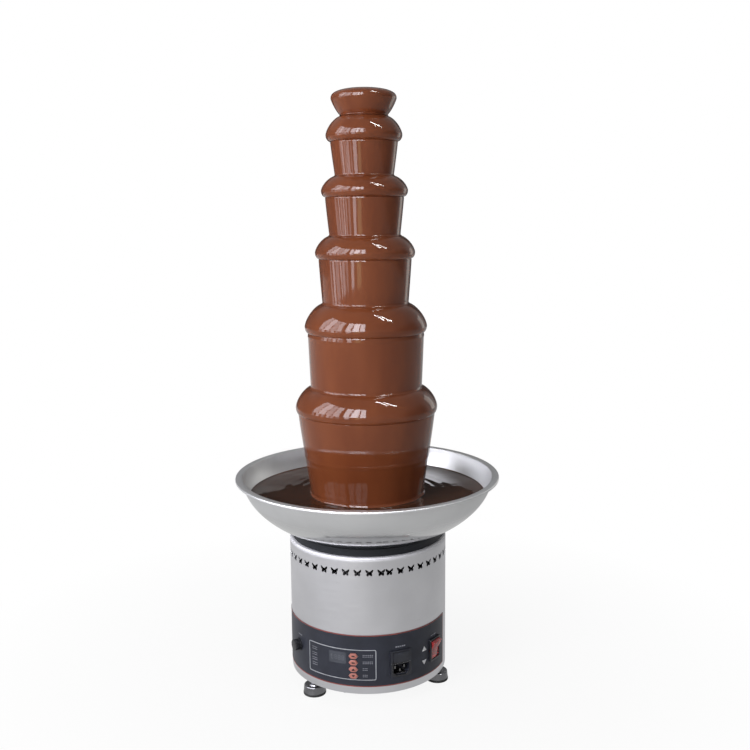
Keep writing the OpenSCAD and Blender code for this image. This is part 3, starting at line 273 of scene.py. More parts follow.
def make_finishes():
    """The materials of the record's slots, and of prints and surfaces that no slot tells apart."""
    smudge = (SPECKLE, {"Scale": 14, "Detail": 4})
    cloudy = (SPECKLE, {"Scale": 120, "Detail": 4})
    swirl = (SPECKLE, {"Scale": 16, "Detail": 3})
    spun = (TURNED, {"Around": 2, "Up": 900, "Out": 900, "Detail": 2})
    flow = (TURNED, {"Around": 11, "Up": 5, "Detail": 3})
    broad_flow = (TURNED, {"Around": 2.4, "Up": 7, "Detail": 2})
    spun_satin_above = (SATIN_UPWARDS, {})
    brushed = {"Low": 0.212, "High": 0.2165, "Lines": 0.25, "Around": 3, "Up": 2600, "Out": 0}
    brushed_satin_edge = (SATIN_UPWARDS, brushed)
    metals = {
        "brushed_steel": ((0.64, 0.64, 0.66), (0.2, 0.7), smudge, brushed_satin_edge, 0.02 * MM),
        "polished_steel": ((0.68, 0.685, 0.69), (0.09, 0.16), smudge, spun, 0.002 * MM),
        "basin_steel": ((0.66, 0.665, 0.67), (0.05, 0.42), smudge, spun_satin_above),
        "plain_steel": ((0.55, 0.55, 0.56), (0.32, 0.46), smudge, cloudy, 0.01 * MM),
        "foot_metal": ((0.2, 0.2, 0.21), (0.22, 0.36), cloudy, cloudy, 0.02 * MM),
        # The pins' metal is painted dark: painted shade of the pins set back in the inlet's mouth.
        "blade_metal": ((0.2, 0.2, 0.195), (0.25, 0.35), smudge, cloudy),
        "gearbox_metal": ((0.5, 0.5, 0.51), (0.45, 0.6), smudge, cloudy, 0.04 * MM),
        "bronze": ((0.62, 0.43, 0.22), (0.35, 0.5), smudge, cloudy, 0.01 * MM),
        "motor_metal": ((0.32, 0.33, 0.35), (0.35, 0.5), smudge, cloudy, 0.01 * MM),
        "rotor_metal": ((0.5, 0.3, 0.17), (0.4, 0.55), smudge, cloudy, 0.02 * MM),
    }
    plastics = {
        "display_film": ((0.07, 0.076, 0.097), (0.1, 0.18), 60, 0),
        "display_black": ((0.01, 0.01, 0.012), (0.3, 0.4)),
        "board_green": ((0.02, 0.11, 0.045), (0.35, 0.5), 200),
        "black_plastic": ((0.013, 0.014, 0.018), (0.3, 0.42)),
        "black_rubber": ((0.008, 0.008, 0.008), (0.6, 0.75), 700, 0.05 * MM),
        "key_film": ((0.5, 0.18, 0.145), (0.35, 0.45), 900, 0.01 * MM),
        "inlet_slate": ((0.017, 0.019, 0.03), (0.3, 0.42), 1400, 0.01 * MM),
        "unlit_segment": ((0.13, 0.14, 0.17), (0.2, 0.3), 60, 0),
        "border_red": ((0.27, 0.06, 0.05), (0.4, 0.5), 1400, 0),
        "print_line": ((0.5, 0.52, 0.57), (0.4, 0.5), 1400, 0),
        "print_dim": ((0.3, 0.31, 0.36), (0.4, 0.5), 1400, 0),
        "print_white": ((0.75, 0.75, 0.78), (0.4, 0.5), 1400, 0),
        "print_black": ((0.015, 0.01, 0.01), (0.4, 0.5), 1400, 0),
    }
    thin = (0.19, 0.051, 0.0195), (0.228, 0.064, 0.024), (0.035, 0.07), broad_flow, flow, 0.1 * MM
    # The pool's two colours are the curtains' chocolate painted much darker, as painted shade for the
    # chocolate down in the bowl.
    shaded_pool = (0.055, 0.022, 0.011), (0.08, 0.033, 0.017), (0.05, 0.1), swirl, swirl, 0.8 * MM
    return {
        **{name: metal(name, *row) for name, row in metals.items()},
        **{name: plastic(name, *row) for name, row in plastics.items()},
        "black_collar": plastic("black_collar", (0.009, 0.011, 0.015), (0.42, 0.55), IOR=1.35),
        "panel_film": plastic("panel_film", (0.027, 0.03, 0.044), (0.36, 0.46), 1400, 0.01 * MM, IOR=1.36),
        "rocker_red": plastic("rocker_red", (0.4, 0.03, 0.033), (0.16, 0.24), 60, 0, Coat_Weight=0.4),
        "chocolate": finish("chocolate", *thin, IOR=1.38),
        "pool_chocolate": finish("pool_chocolate", *shaded_pool, IOR=1.38),
    }


FINISHES = make_finishes()


# Meshes


def join_rings(mesh, ring, after):
    """Faces between two closed rings of vertices."""
    for i in range(len(ring)):
        j = (i + 1) % len(ring)
        mesh.faces.new((ring[i], after[i], after[j], ring[j]))


def turn(mesh, outline, steps, move=None, moved=None, at=(0.0, 0.0)):
    """Adds a closed outline of (radius, height) points, turned about the upright axis through at.

    Where move is given, it shapes the points at each angle, or only the first so many where moved says so.
    """
    rings = []
    for k in range(steps):
        angle = 2 * pi * k / steps
        ring = []
        for i, (radius, height) in enumerate(outline):
            if move and (moved is None or i < moved):
                radius, height = move(angle, radius, height)
            ring.append(mesh.verts.new((at[0] + radius * sin(angle), at[1] - radius * cos(angle), height)))
        rings.append(ring)
    for ring, after in zip(rings, rings[1:] + rings[:1]):
        join_rings(mesh, ring, after)


def settle(piece):
    """Turns a piece's modifiers into its plain mesh."""
    shown = piece.evaluated_get(bpy.context.evaluated_depsgraph_get())
    mesh = bpy.data.meshes.new_from_object(shown)
    piece.modifiers.clear()
    piece.data = mesh


def soften(piece, width, angle):
    """Rounds the edges that are sharper than an angle."""
    bevel = piece.modifiers.new("soft_edges", "BEVEL")
    bevel.width = width
    bevel.segments = 2
    bevel.limit_method = "ANGLE"
    bevel.angle_limit = radians(angle)
    settle(piece)


def attach(piece, body, slot=None, replaced=(), finish_name=None):
    """Gives a piece its body and the finish of its slot or another one, and hides the nodes that it stands
    for.
    """
    piece.data.materials.clear()
    piece.data.materials.append(FINISHES[finish_name or slot])
    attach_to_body(piece, body)
    if replaced:
        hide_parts(*replaced)


def shown_piece(mesh, name, angle, edge=0.0):
    """A bmesh as a piece, smooth but for its sharp edges, which are rounded where edge is given."""
    data = bpy.data.meshes.new(name)
    mesh.to_mesh(data)
    mesh.free()
    piece = bpy.data.objects.new(name, data)
    bpy.context.scene.collection.objects.link(piece)
    if edge:
        soften(piece, edge, angle)
    piece.data.shade_smooth()
    piece.data.set_sharp_from_angle(angle=radians(angle))
    return piece


def piece_from(mesh, name, angle=35):
    """A piece from a closed bmesh, its doubles merged and its faces turned outwards."""
    no_area = 1e-14
    bmesh.ops.remove_doubles(mesh, verts=mesh.verts, dist=TINY)
    loose = [f for f in mesh.faces if f.calc_area() < no_area]
    bmesh.ops.delete(mesh, geom=loose, context="FACES_ONLY")
    bmesh.ops.recalc_face_normals(mesh, faces=mesh.faces)
    return shown_piece(mesh, name, angle)


def turned_piece(name, outline, steps):
    mesh = bmesh.new()
    turn(mesh, outline, steps)
    return piece_from(mesh, name)


def merged_copy(node, name, edge=0.0):
    """A copy of a frame node as one closed mesh, with its flat faces whole and its edges rounded."""
    mesh = bmesh.new()
    mesh.from_mesh(NODES[node].data)
    bmesh.ops.remove_doubles(mesh, verts=mesh.verts, dist=2 * TINY)
    if edge:
        bmesh.ops.dissolve_limit(mesh, angle_limit=radians(0.3), verts=mesh.verts, edges=mesh.edges)
    return shown_piece(mesh, name, 30, edge)


def true_round(piece):
    """Gives the faces that lie round the axis, within 12 degrees, the normals of a true cylinder."""
    least = cos(radians(12))
    data = piece.data
    normals = [Vector((0, 0, 0))] * len(data.loops)
    for face in data.polygons:
        for loop in face.loop_indices:
            place = data.vertices[data.loops[loop].vertex_index].co
            out = Vector((place.x, place.y, 0)).normalized()
            lean = face.normal.dot(out)
            if abs(lean) > least:
                normals[loop] = out if lean > 0 else -out
    data.normals_split_custom_set(normals)


def ring_of_copies_tree():
    """Geometry nodes that set copies of a mesh round the axis, each turned by a step from the last."""
    tree = bpy.data.node_groups.new("ring_of_copies", "GeometryNodeTree")
    tree.interface.new_socket("Geometry", in_out="INPUT", socket_type="NodeSocketGeometry")
    for label, kind in (("Count", "Int"), ("Start", "Float"), ("Pitch", "Float")):
        tree.interface.new_socket(label, in_out="INPUT", socket_type="NodeSocket" + kind)
    tree.interface.new_socket("Material", in_out="INPUT", socket_type="NodeSocketMaterial")
    tree.interface.new_socket("Geometry", in_out="OUTPUT", socket_type="NodeSocketGeometry")
    given = tree.nodes.new("NodeGroupInput").outputs
    whole = add_node(tree, "GeometryNodeGeometryToInstance", {"Geometry": given["Geometry"]})
    inputs = {"Geometry": whole.outputs[0], "Amount": given["Count"]}
    copies = add_node(tree, "GeometryNodeDuplicateElements", inputs, domain="INSTANCE")
    number = copies.outputs["Duplicate Index"]
    angle = math_node(tree, "MULTIPLY_ADD", number, given["Pitch"], given["Start"])
    turn_by = add_node(tree, "ShaderNodeCombineXYZ", {"Z": angle}).outputs["Vector"]
    inputs = {"Instances": copies.outputs["Geometry"], "Rotation": turn_by}
    turned = add_node(tree, "GeometryNodeRotateInstances", inputs)
    turned.inputs["Local Space"].default_value = False
    real = add_node(tree, "GeometryNodeRealizeInstances", {"Geometry": turned.outputs[0]})
    inputs = {"Geometry": real.outputs[0], "Material": given["Material"]}
    painted = add_node(tree, "GeometryNodeSetMaterial", inputs)
    out = tree.nodes.new("NodeGroupOutput")
    tree.links.new(painted.outputs[0], out.inputs["Geometry"])
    return tree


RING_OF_COPIES = ring_of_copies_tree()


def repeat_round(piece, finish_name, count, pitch, start=0.0):
    """Repeats a piece's mesh round the axis, with angles in degrees, and leaves it a plain mesh."""
    modifier = piece.modifiers.new("copies", "NODES")
    modifier.node_group = RING_OF_COPIES
    inputs = [item for item in RING_OF_COPIES.interface.items_tree if item.in_out == "INPUT"]
    named = {item.name: item.identifier for item in inputs}
    modifier[named["Count"]] = count
    modifier[named["Start"]] = radians(start)
    modifier[named["Pitch"]] = radians(pitch)
    modifier[named["Material"]] = FINISHES[finish_name]
    settle(piece)


# Outlines


def quarter_turn(steps):
    """Cosines and sines of a quarter turn."""
    angles = [pi / 2 * i / steps for i in range(steps + 1)]
    return [(cos(a), sin(a)) for a in angles]


def quarter(inner, outer, height, z, power, steps):
    """Quarter of a rounded outline from its top at the inner radius to its widest place."""
    share = 2 / power
    turned = quarter_turn(steps)
    return [(inner + (outer - inner) * s**share, z + height * abs(c) ** share) for c, s in turned]


def bowl_r(z, inset=0.0):
    """Radius of the bowl's outside, or of a surface inset from it, at a height."""
    return (BOWL_R - inset) * sqrt(1 - ((BOWL_MIDDLE - z) / (BOWL_ROUND - inset)) ** 2)


def bowl_z(r):
    """Height of the bowl's outside at a radius."""
    return BOWL_MIDDLE - BOWL_ROUND * sqrt(1 - (r / BOWL_R) ** 2)


def bowl_side(low, high, inset, steps):
    """Points of the bowl from low to high, closer together near its flat floor."""
    heights = [low + (high - low) * (i / steps) ** 1.6 for i in range(steps + 1)]
    return [(bowl_r(z, inset), z) for z in heights]


def hexagon_r(angle, apothem):
    """Radius of a six-sided outline at an angle."""
    return apothem / cos((angle % (pi / 3)) - pi / 6)


def place_of(angle, radius):
    """Place on the floor plan at an angle and a distance from the axis."""
    return radius * sin(radians(angle)), -radius * cos(radians(angle))


# Chocolate


def tuck(radius, inset, z, steps):
    """Rounded edge that turns in under itself as it drops and ends in a crease."""
    shares = [sin(pi / 2 * i / steps) for i in range(1, steps + 1)]
    return [(radius - inset * (1 - sqrt(max(0, 1 - t * t))), z - EDGE_DROP * t) for t in shares]


def fall(r0, z0, r1, z1, steps):
    """Free fall of a curtain."""
    shares = [i / steps for i in range(1, steps + 1)]
    return [(r0 - (r0 - r1) * t**FALL_POWER, z0 - (z0 - z1) * t) for t in shares]


def bell(tier, landing, inset, steps):
    """Outline of a tier's dome, its edge and its curtain, a given depth under the chocolate's surface."""
    top = quarter(tier.neck - inset, tier.radius - inset, tier.dome - inset, tier.widest, DOME_POWER, steps)
    edge = tuck(tier.radius - inset, CREASE * tier.edge, tier.widest, steps)
    lip = (tier.radius - tier.edge - inset, tier.widest - EDGE_DROP - 0.4 * MM)
    return top + edge + fall(*lip, tier.foot - inset, landing, 2 * steps)


def folds(seed, fade_low, fade_high):
    """Soft upright folds of the flow, in metres, which fade out above and below two heights."""
    fade_over, broad_depth, fine_depth = 6 * MM, 0.3 * MM, 0.09 * MM

    def depth(angle, height):
        broad = noise.noise(Vector((3 * cos(angle), 3 * sin(angle), 7 * height + seed)))
        fine = noise.noise(Vector((10 * cos(angle), 10 * sin(angle), 3 * height + 2 * seed)))
        fade_up = min(1, max(0, (height - fade_low) / fade_over))
        fade_down = min(1, max(0, (fade_high - height) / fade_over))
        return fade_up * fade_down * (broad_depth * broad + fine_depth * fine)

    return depth


def ridge(height, place, rise, width):
    """Swelling of the flow at one height."""
    return rise * exp(-(((height - place) / width) ** 2))


def curtain_relief(tier, landing, seed, ripples):
    """Moves the outer skin of a curtain: folds, ripples, and the fillet where it lands."""
    wavy = folds(seed, landing, tier.widest + tier.dome)
    fillet, waver_by, sink = 2.4 * MM, 0.8 * MM, 0.5 * MM

    def move(angle, radius, height):
        grown = wavy(angle, height) * min(1, radius / tier.neck)
        for place, rise, width in ripples:
            waver = waver_by * noise.noise(Vector((1.5 * cos(angle), 1.5 * sin(angle), seed + 9)))
            grown += ridge(height, place + waver, rise, width)
        above = height - landing
        if above < fillet:
            grown += fillet - sqrt(max(0, fillet**2 - (fillet - above) ** 2))
            height -= sink * (1 - above / fillet)
        return radius + grown, height

    return move


def shell_piece(name, outer, inner, move):
    """Piece turned from an outer outline that move shapes, closed by a plain inner one."""
    mesh = bmesh.new()
    turn(mesh, outer + inner[::-1], FLOW_STEPS, move, len(outer))
    return piece_from(mesh, name, FLOW_SMOOTH)


def make_curtains():
    """The chocolate on each tier with the curtain that falls from it, each a closed thin shell."""
    ripples = {
        3: [(TIERS[3].widest - EDGE_DROP - 5 * MM, 0.35 * MM, 1.6 * MM)],
        4: [(337 * MM, 0.55 * MM, 1.7 * MM)],
    }
    domes = [tier.widest + tier.dome for tier in TIERS]
    landings = [*domes[1:], POOL_TOP + 0.3 * MM]
    for i, (tier, landing) in enumerate(zip(TIERS, landings)):
        outer = bell(tier, landing, 0, 26)
        inner = bell(tier, landing, FILM, 10)
        move = curtain_relief(tier, landing, 3.7 * i, ripples.get(i, []))
        piece = shell_piece(f"falling_chocolate_{i + 1}", outer, inner, move)
        attach(piece, "tower", "chocolate", [f"curtain_{i + 1}"])


def make_crown_chocolate():
    """Chocolate that wells up in the crown, runs over its rim and down its outside to the neck."""
    neck = TIERS[0].neck
    foot = TIERS[0].widest + TIERS[0].dome + 0.3 * MM
    cup = quarter(neck, CROWN_R, -CROWN_CUP, CROWN_WIDE, CUP_POWER, 24)
    dome = quarter(0, CROWN_R, CROWN_DOME, CROWN_WIDE, CROWN_DOME_POWER, 30)
    outer = [(neck + 1.1 * MM, foot), (neck + 0.3 * MM, foot + 0.8 * MM), *cup, *dome[-2::-1]]
    bowl = quarter(CROWN_FLOOR_R, CROWN_INSIDE_R, CROWN_FLOOR - CROWN_RIM, CROWN_RIM, CUP_POWER, 10)
    under = quarter(neck - FILM, CROWN_R - FILM, -CROWN_CUP, CROWN_WIDE, CUP_POWER, 10)
    rim = (CROWN_R - FILM, CROWN_RIM + 0.2 * MM)
    inner = [(neck - FILM, foot), *under, rim, *bowl[::-1], (0, CROWN_FLOOR)]
    wavy = folds(21, foot, CROWN_WIDE + CROWN_DOME)

    def move(angle, radius, height):
        return radius + wavy(angle, height) * min(1, radius / neck) ** 3, height

    piece = shell_piece("welling_chocolate", outer, inner, move)
    attach(piece, "crown", "chocolate", ["crown_chocolate"])


def make_pool():
    """Chocolate in the bowl, with rings where the last curtain lands and a meniscus at the steel, in a
    darker copy of the chocolate that stands for painted shade.
    """
    bore, floor = 28.3 * MM, BOWL_FLOOR + 0.2 * MM
    inset = SHEET + 0.15 * MM
    wall = bowl_r(POOL_TOP, inset)
    side = bowl_side(floor, POOL_TOP, inset, 24)
    steps = 110
    top = [(wall + (bore - wall) * i / steps, POOL_TOP) for i in range(1, steps + 1)]
    foot = TIERS[4].foot
    ring_rise, ring_pitch, ring_reach = 0.3 * MM, 15 * MM, 24 * MM
    swell_rise, slow_rise = 0.55 * MM, 0.5 * MM
    meniscus_rise, meniscus_reach = 0.9 * MM, 1.6 * MM

    def move(angle, radius, height):
        if height < POOL_TOP - TINY / 10:
            return radius, height
        away = max(0, radius - foot)
        rings = ring_rise * cos(2 * pi * away / ring_pitch) * exp(-away / ring_reach)
        x, y = sin(angle) * radius, -cos(angle) * radius
        swell = swell_rise * noise.noise(Vector((32 * x, 32 * y, 4)))
        slow = slow_rise * noise.noise(Vector((13 * x, 18 * y, 11)))
        edge = exp(-(wall - radius) / meniscus_reach)
        return radius, height + (rings + swell + slow) * (1 - edge) + meniscus_rise * edge

    mesh = bmesh.new()
    turn(mesh, [(bore, floor), *side, *top], FLOW_STEPS, move)
    piece = piece_from(mesh, "basin_chocolate", FLOW_SMOOTH)
    attach(piece, "base", "pool_chocolate", ["chocolate_pool"])


# Basin, housing and feet


def make_basin():
    """The bowl of spun sheet: inner and outer side, a flat rim and its turned edge."""
    flat_below = BOWL_MIDDLE - BOWL_ROUND * 0.873
    outside = bowl_side(flat_below, RIM_TOP - SHEET, 0, 60)
    inside = bowl_side(BOWL_FLOOR, RIM_TOP - 1.2 * MM, SHEET, 60)
    hem = RIM_TOP - 3.5 * MM
    edge = RIM_R - SHEET
    roll = [(RIM_R - 1.6 * MM * (1 - c), RIM_TOP - 1.8 * MM + 1.5 * MM * s) for c, s in quarter_turn(6)]
    rim = [
        (edge - 0.3 * MM, RIM_TOP - SHEET - 0.3 * MM), (edge, RIM_TOP - SHEET - 0.7 * MM), (edge, hem),
        (RIM_R - 0.4 * MM, hem), (RIM_R, hem + 0.4 * MM), *roll,
        (RIM_R - 4.5 * MM, RIM_TOP), (BOWL_R + 0.6 * MM, RIM_TOP - 0.1 * MM),
        (BOWL_R - 0.6 * MM, RIM_TOP - 0.35 * MM), (BOWL_R - 1.6 * MM, RIM_TOP - 0.9 * MM),
    ]
    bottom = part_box("basin")[0].z
    under = [(HUB_BORE, bottom), (30 * MM, bottom), *outside[1:]]
    outline = [*under, *rim, *inside[::-1][1:-1], (HUB_BORE, BOWL_FLOOR)]
    outline = [(r, max(z, bottom)) for r, z in outline]
    piece = turned_piece("spun_basin", outline, 240)
    attach(piece, "base", "polished_steel", ["basin"], "basin_steel")


def make_collar():
    """Insulating ring between the housing and the bowl."""
    low, high = (corner.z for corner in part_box("insulating_collar"))
    inner_high = high - (bowl_z(COLLAR_R) - bowl_z(COLLAR_BORE))
    outline = [
        (COLLAR_BORE, low), (COLLAR_R - 0.5 * MM, low), (COLLAR_R, low + 0.5 * MM),
        (COLLAR_R, high - 0.4 * MM), (COLLAR_R - 0.4 * MM, high - 0.2 * MM), (COLLAR_BORE, inner_high),
    ]
    piece = turned_piece("heat_collar", outline, 192)
    attach(piece, "base", "black_collar", ["insulating_collar"])


def make_housing():
    """The housing and its panel, with the normals of a true cylinder."""
    rows = (
        ("housing_shell", "vented_housing", "brushed_steel"),
        ("panel_overlay", "panel_sheet", "panel_film"),
        ("display_window", "display_glass", "display_film"),
    )
    for node, name, slot in rows:
        piece = merged_copy(node, name)
        true_round(piece)
        attach(piece, "base", slot, [node])


def make_base_screws():
    """Screws under the base plate with a six-sided socket in the head, repeated round the flange."""
    low, top = (corner.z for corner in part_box("base_screws"))
    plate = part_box("base_plate")[0].z
    flange = plate + 3.2 * MM
    shank, head_r, nut_r, socket_r = 1.9 * MM, 3.5 * MM, 3.3 * MM, 1.3 * MM
    socket_top, nut_top = low + 1 * MM, flange + 2.4 * MM
    head = [
        (0, socket_top), (socket_r, socket_top), (socket_r, low), (2.6 * MM, low),
        (3.2 * MM, low + 0.3 * MM), (head_r, low + 0.9 * MM), (head_r, plate), (shank, plate),
    ]
    nut = [(shank, flange), (nut_r, flange), (nut_r, nut_top), (shank, nut_top)]

    def move(angle, radius, height):
        if abs(radius - nut_r) < TINY:
            return hexagon_r(angle, 2.9 * MM), height
        if abs(radius - socket_r) < TINY:
            return hexagon_r(angle, 1.25 * MM), height
        return radius, height

    mesh = bmesh.new()
    turn(mesh, [*head, *nut, (shank, top), (0, top)], 36, move, at=(0, -SCREW_RING))
    piece = piece_from(mesh, "flange_screws")
    repeat_round(piece, "plain_steel", 6, 60, FOOT_START + 30)
    attach(piece, "base", "plain_steel", ["base_screws"])


def make_foot(k):
    """Levelling foot: pressed cup on a ribbed rubber sole, lock nut and threaded stud."""
    body = f"foot_{k + 1}"
    at = place_of(FOOT_START + 120 * k, FOOT_RING)
    sole, cup_top, nut_top, stud = 4 * MM, 14.7 * MM, 18.9 * MM, 3 * MM
    rubber = 16.4 * MM
    cup_r, dish = rubber - 0.4 * MM, cup_top - 1.3 * MM
    round_r, round_low = cup_r - 0.8 * MM, cup_top - 2.3 * MM
    shoulder = [(round_r - 1.7 * MM * (1 - c), round_low + 1.6 * MM * s) for c, s in quarter_turn(6)]
    middle = [(11.5 * MM, dish), (8.6 * MM, dish), (7.8 * MM, cup_top), (0, cup_top)]
    mesh = bmesh.new()
    turn(mesh, [(0, sole), (cup_r, sole), *shoulder, *middle], 72, at=at)
    apothem, corner, chamfer = 5.2 * MM, 6 * MM, 0.5 * MM
    nut = [
        (0, cup_top), (apothem, cup_top), (corner, cup_top + chamfer), (corner, nut_top - chamfer),
        (apothem, nut_top), (0, nut_top),
    ]

    def flats(angle, radius, height):
        return min(radius, hexagon_r(angle, apothem)), height

    turn(mesh, nut, 72, flats, at=at)
    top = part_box(body)[1].z
    pitch, stud_low = 1.25 * MM, nut_top - 0.2 * MM
    turns = int((top - nut_top) / pitch)
    thread = [(stud - 0.55 * MM * (i % 2), nut_top + i * pitch / 2) for i in range(2 * turns)]
    turn(mesh, [(0, stud_low), (stud, stud_low), *thread, (stud - MM, top), (0, top)], 36, at=at)
    piece = piece_from(mesh, f"levelling_{body}")
    attach(piece, body, "foot_metal", [body])
    ribs = [(rubber - 3 * MM - i * 1.2 * MM, 0.5 * MM * (i % 2)) for i in range(7)]
    outline = [
        (0, 0), *ribs[::-1], (rubber - 1 * MM, 0), (rubber - 0.3 * MM, 0.3 * MM), (rubber, 1 * MM),
        (rubber, sole - 0.8 * MM), (rubber - 0.5 * MM, sole), (0, sole),
    ]
    mesh = bmesh.new()
    turn(mesh, outline, 72, at=at)
    grip = piece_from(mesh, f"rubber_sole_{k + 1}")
    attach(grip, body, "black_rubber", [f"foot_sole_{k + 1}"])


# Control panel


def panel_point(angle, along, height, radius):
    """Point on the panel, along metres of its face to the right of an angle."""
    a = radians(angle) + along / FACE_R
    return radius * sin(a), -radius * cos(a), height


def add_patch(mesh, angle, left, right, low, high, base=FACE_R):
    """Thin patch on the panel between two heights, each a number or a function of the place along it."""
    low_at = low if callable(low) else lambda s: low
    high_at = high if callable(high) else lambda s: high
    steps = max(1, int((right - left) / (1.2 * MM)) * 2)
    top = base + PRINT_UP
    columns = []
    for i in range(steps + 1):
        s = left + (right - left) * i / steps
        corners = [(low_at(s), base), (low_at(s), top), (high_at(s), top), (high_at(s), base)]
        columns.append([mesh.verts.new(panel_point(angle, s, z, r)) for z, r in corners])
    for column, after in zip(columns, columns[1:]):
        join_rings(mesh, column, after)
    mesh.faces.new(columns[0])
    mesh.faces.new(columns[-1][::-1])


def print_piece(name, mesh, finish_name, body="base"):
    attach(piece_from(mesh, name), body, finish_name=finish_name)


def make_border():
    """Thin red line along the top, the foot and the right end of the panel."""
    left, right, low, high = OVERLAY
    line = 1.5 * MM
    middle = (left + right) / 2
    half = radians(right - left) / 2 * FACE_R
    mesh = bmesh.new()
    add_patch(mesh, middle, -half, half, high - line, high)
    add_patch(mesh, middle, -half, half, low, low + line)
    add_patch(mesh, middle, half - line, half, low + line, high - line)
    print_piece("panel_border", mesh, "border_red")


def make_frame_line():
    """Pale rounded line round the display and the keys."""
    left, right, low, high = FRAME_LINE
    half = radians(right - left) / 2 * FACE_R
    tall = (high - low) / 2
    corner, line = 2.5 * MM, 1 * MM
    path = []
    for x, z, first in ((1, 1, 0), (-1, 1, 90), (-1, -1, 180), (1, -1, 270)):
        for i in range(7):
            a = radians(first + 15 * i)
            path.append((x * (half - corner), z * (tall - corner), cos(a), sin(a)))
    dense = []
    for (x0, z0, c0, s0), (x1, z1, c1, s1) in zip(path, path[1:] + path[:1]):
        gap = hypot(x1 - x0, z1 - z0)
        steps = max(1, int(gap / (1.5 * MM)))
        for i in range(steps):
            t = i / steps
            dense.append((x0 + (x1 - x0) * t, z0 + (z1 - z0) * t, c0 + (c1 - c0) * t, s0 + (s1 - s0) * t))
    mesh = bmesh.new()
    middle, level = (left + right) / 2, (low + high) / 2
    inner, top = corner - line, FACE_R + PRINT_UP
    sides = [(inner, FACE_R), (corner, FACE_R), (corner, top), (inner, top)]
    rings = []
    for x, z, c, s in dense:
        places = [panel_point(middle, x + c * d, level + z + s * d, r) for d, r in sides]
        rings.append([mesh.verts.new(place) for place in places])
    for ring, after in zip(rings, rings[1:] + rings[:1]):
        join_rings(mesh, ring, after)
    print_piece("frame_line", mesh, "print_line")


def make_prints():
    """Short plain dashes in rows where a panel like this has its small print."""
    Rows = namedtuple("Rows", "name angle heights dashes wide tall pitch")
    plain = (1.6 * MM, 0.9 * MM, 1.24)
    word = (2.2 * MM, 1.9 * MM, 1.55)
    small_word = (1.5 * MM, 1.3 * MM, 1.05)
    groups = [
        Rows("print_left", -44, [77.5, 74.6, 69, 66.1, 61.6, 58.7, 54.2, 51.3], 4, *plain),
        Rows("print_right_long", -4.4, [77.2, 74.8, 67.4, 65], 6, *plain),
        Rows("print_right_short", -4.4, [57.6, 55.2, 47.8, 45.4], 3, *plain),
        Rows("label_inlet", INLET_ANGLE - 3.7, [86.2], 5, *word),
        Rows("label_switch", SWITCH_ANGLE - 4, [86], 6, *small_word),
        Rows("label_fuse", FUSE_ANGLE - 1, [84.5], 5, *small_word),
    ]
    for rows in groups:
        mesh = bmesh.new()
        half = rows.tall / 2
        for height in rows.heights:
            add_patch(mesh, rows.angle, 0, rows.wide, height * MM - half, height * MM + half)
        piece = piece_from(mesh, rows.name)
        repeat_round(piece, "print_dim", rows.dashes, rows.pitch)
        attach(piece, "base", finish_name="print_dim")


def add_triangle(mesh, angle, height, half, tall, up, base=FACE_R):
    """Triangle on the panel that points up or down."""
    low, high = height - tall / 2, height + tall / 2
    blunt = 0.02 * MM

    def reach(s):
        return tall * (1 - abs(s) / half) + blunt

    if up:
        add_patch(mesh, angle, -half, half, low, lambda s: low + reach(s), base)
    else:
        add_patch(mesh, angle, -half, half, lambda s: high - reach(s), high, base)


def make_marks():
    """White triangles beside the rocker, and black triangles and dashes on the keys."""
    mesh = bmesh.new()
    for height, up in ((71.8 * MM, True), (51 * MM, False)):
        add_triangle(mesh, ROCKER_MARKS_ANGLE, height, 4.6 * MM, 7 * MM, up)
    print_piece("rocker_arrows", mesh, "print_white")
    for k in range(1, 5):
        low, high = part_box(f"key_{k}")
        middle = (low.z + high.z) / 2
        mesh = bmesh.new()
        if k <= 2:
            add_triangle(mesh, KEY_ANGLE, middle, 2.5 * MM, 3.5 * MM, k == 2, KEY_FACE)
        else:
            add_patch(mesh, KEY_ANGLE, -2.2 * MM, 2.2 * MM, middle - 1 * MM, middle + 1 * MM, KEY_FACE)
        print_piece(f"key_mark_{k}", mesh, "print_black", f"key_{k}")


def make_display_segments():
    """Unlit number segments behind the display's film."""
    left, right, low, high = DISPLAY
    middle, level = (left + right) / 2, (low + high) / 2
    wide, tall, line, pitch, digits = 3.6 * MM, 7 * MM, 0.7 * MM, 5.4 * MM, 4
    mesh = bmesh.new()

    def add_segment(s, z, half_wide, half_tall):
        add_patch(mesh, middle, s - half_wide, s + half_wide, z - half_tall, z + half_tall, SEGMENT_FACE)

    for d in range(digits):
        centre = (d - (digits - 1) / 2) * pitch
        for row in (-1, 0, 1):
            add_segment(centre, level + row * (tall - line) / 2, wide / 2 - line, line / 2)
        for side in (-1, 1):
            s = centre + side * (wide - line) / 2
            for row in (-1, 1):
                add_segment(s, level + row * (tall - line) / 4, line / 2, tall / 4 - line * 0.9)
    print_piece("display_segments", mesh, "unlit_segment")


def make_controls():
    """Moulded and pressed pieces of the panel, as closed meshes with rounded edges."""
    Control = namedtuple("Control", "node name body slot edge")
    controls = [
        Control("inlet_body", "inlet_moulding", "base", "black_plastic", 0.3 * MM),
        Control("switch_bezel", "switch_frame", "base", "black_plastic", 0.35 * MM),
        Control("fuse_holder", "fuse_socket", "base", "black_plastic", 0.25 * MM),
        Control("fuse_cap", "fuse_knob", "fuse_cap", "black_plastic", 0.3 * MM),
        Control("fuse_drawer", "fuse_tray", "fuse_drawer", "black_plastic", 0.3 * MM),
        Control("rocker", "rocker_paddle", "rocker", "rocker_red", 0.5 * MM),
    ]
    controls += [Control(f"key_{k}", f"key_cap_{k}", f"key_{k}", "key_film", 0.45 * MM) for k in range(1, 5)]
    for c in controls:
        piece = merged_copy(c.node, c.name, c.edge)
        slate = "inlet_slate" if c.node in ("inlet_body", "fuse_drawer") else None
        attach(piece, c.body, c.slot, [c.node], slate)


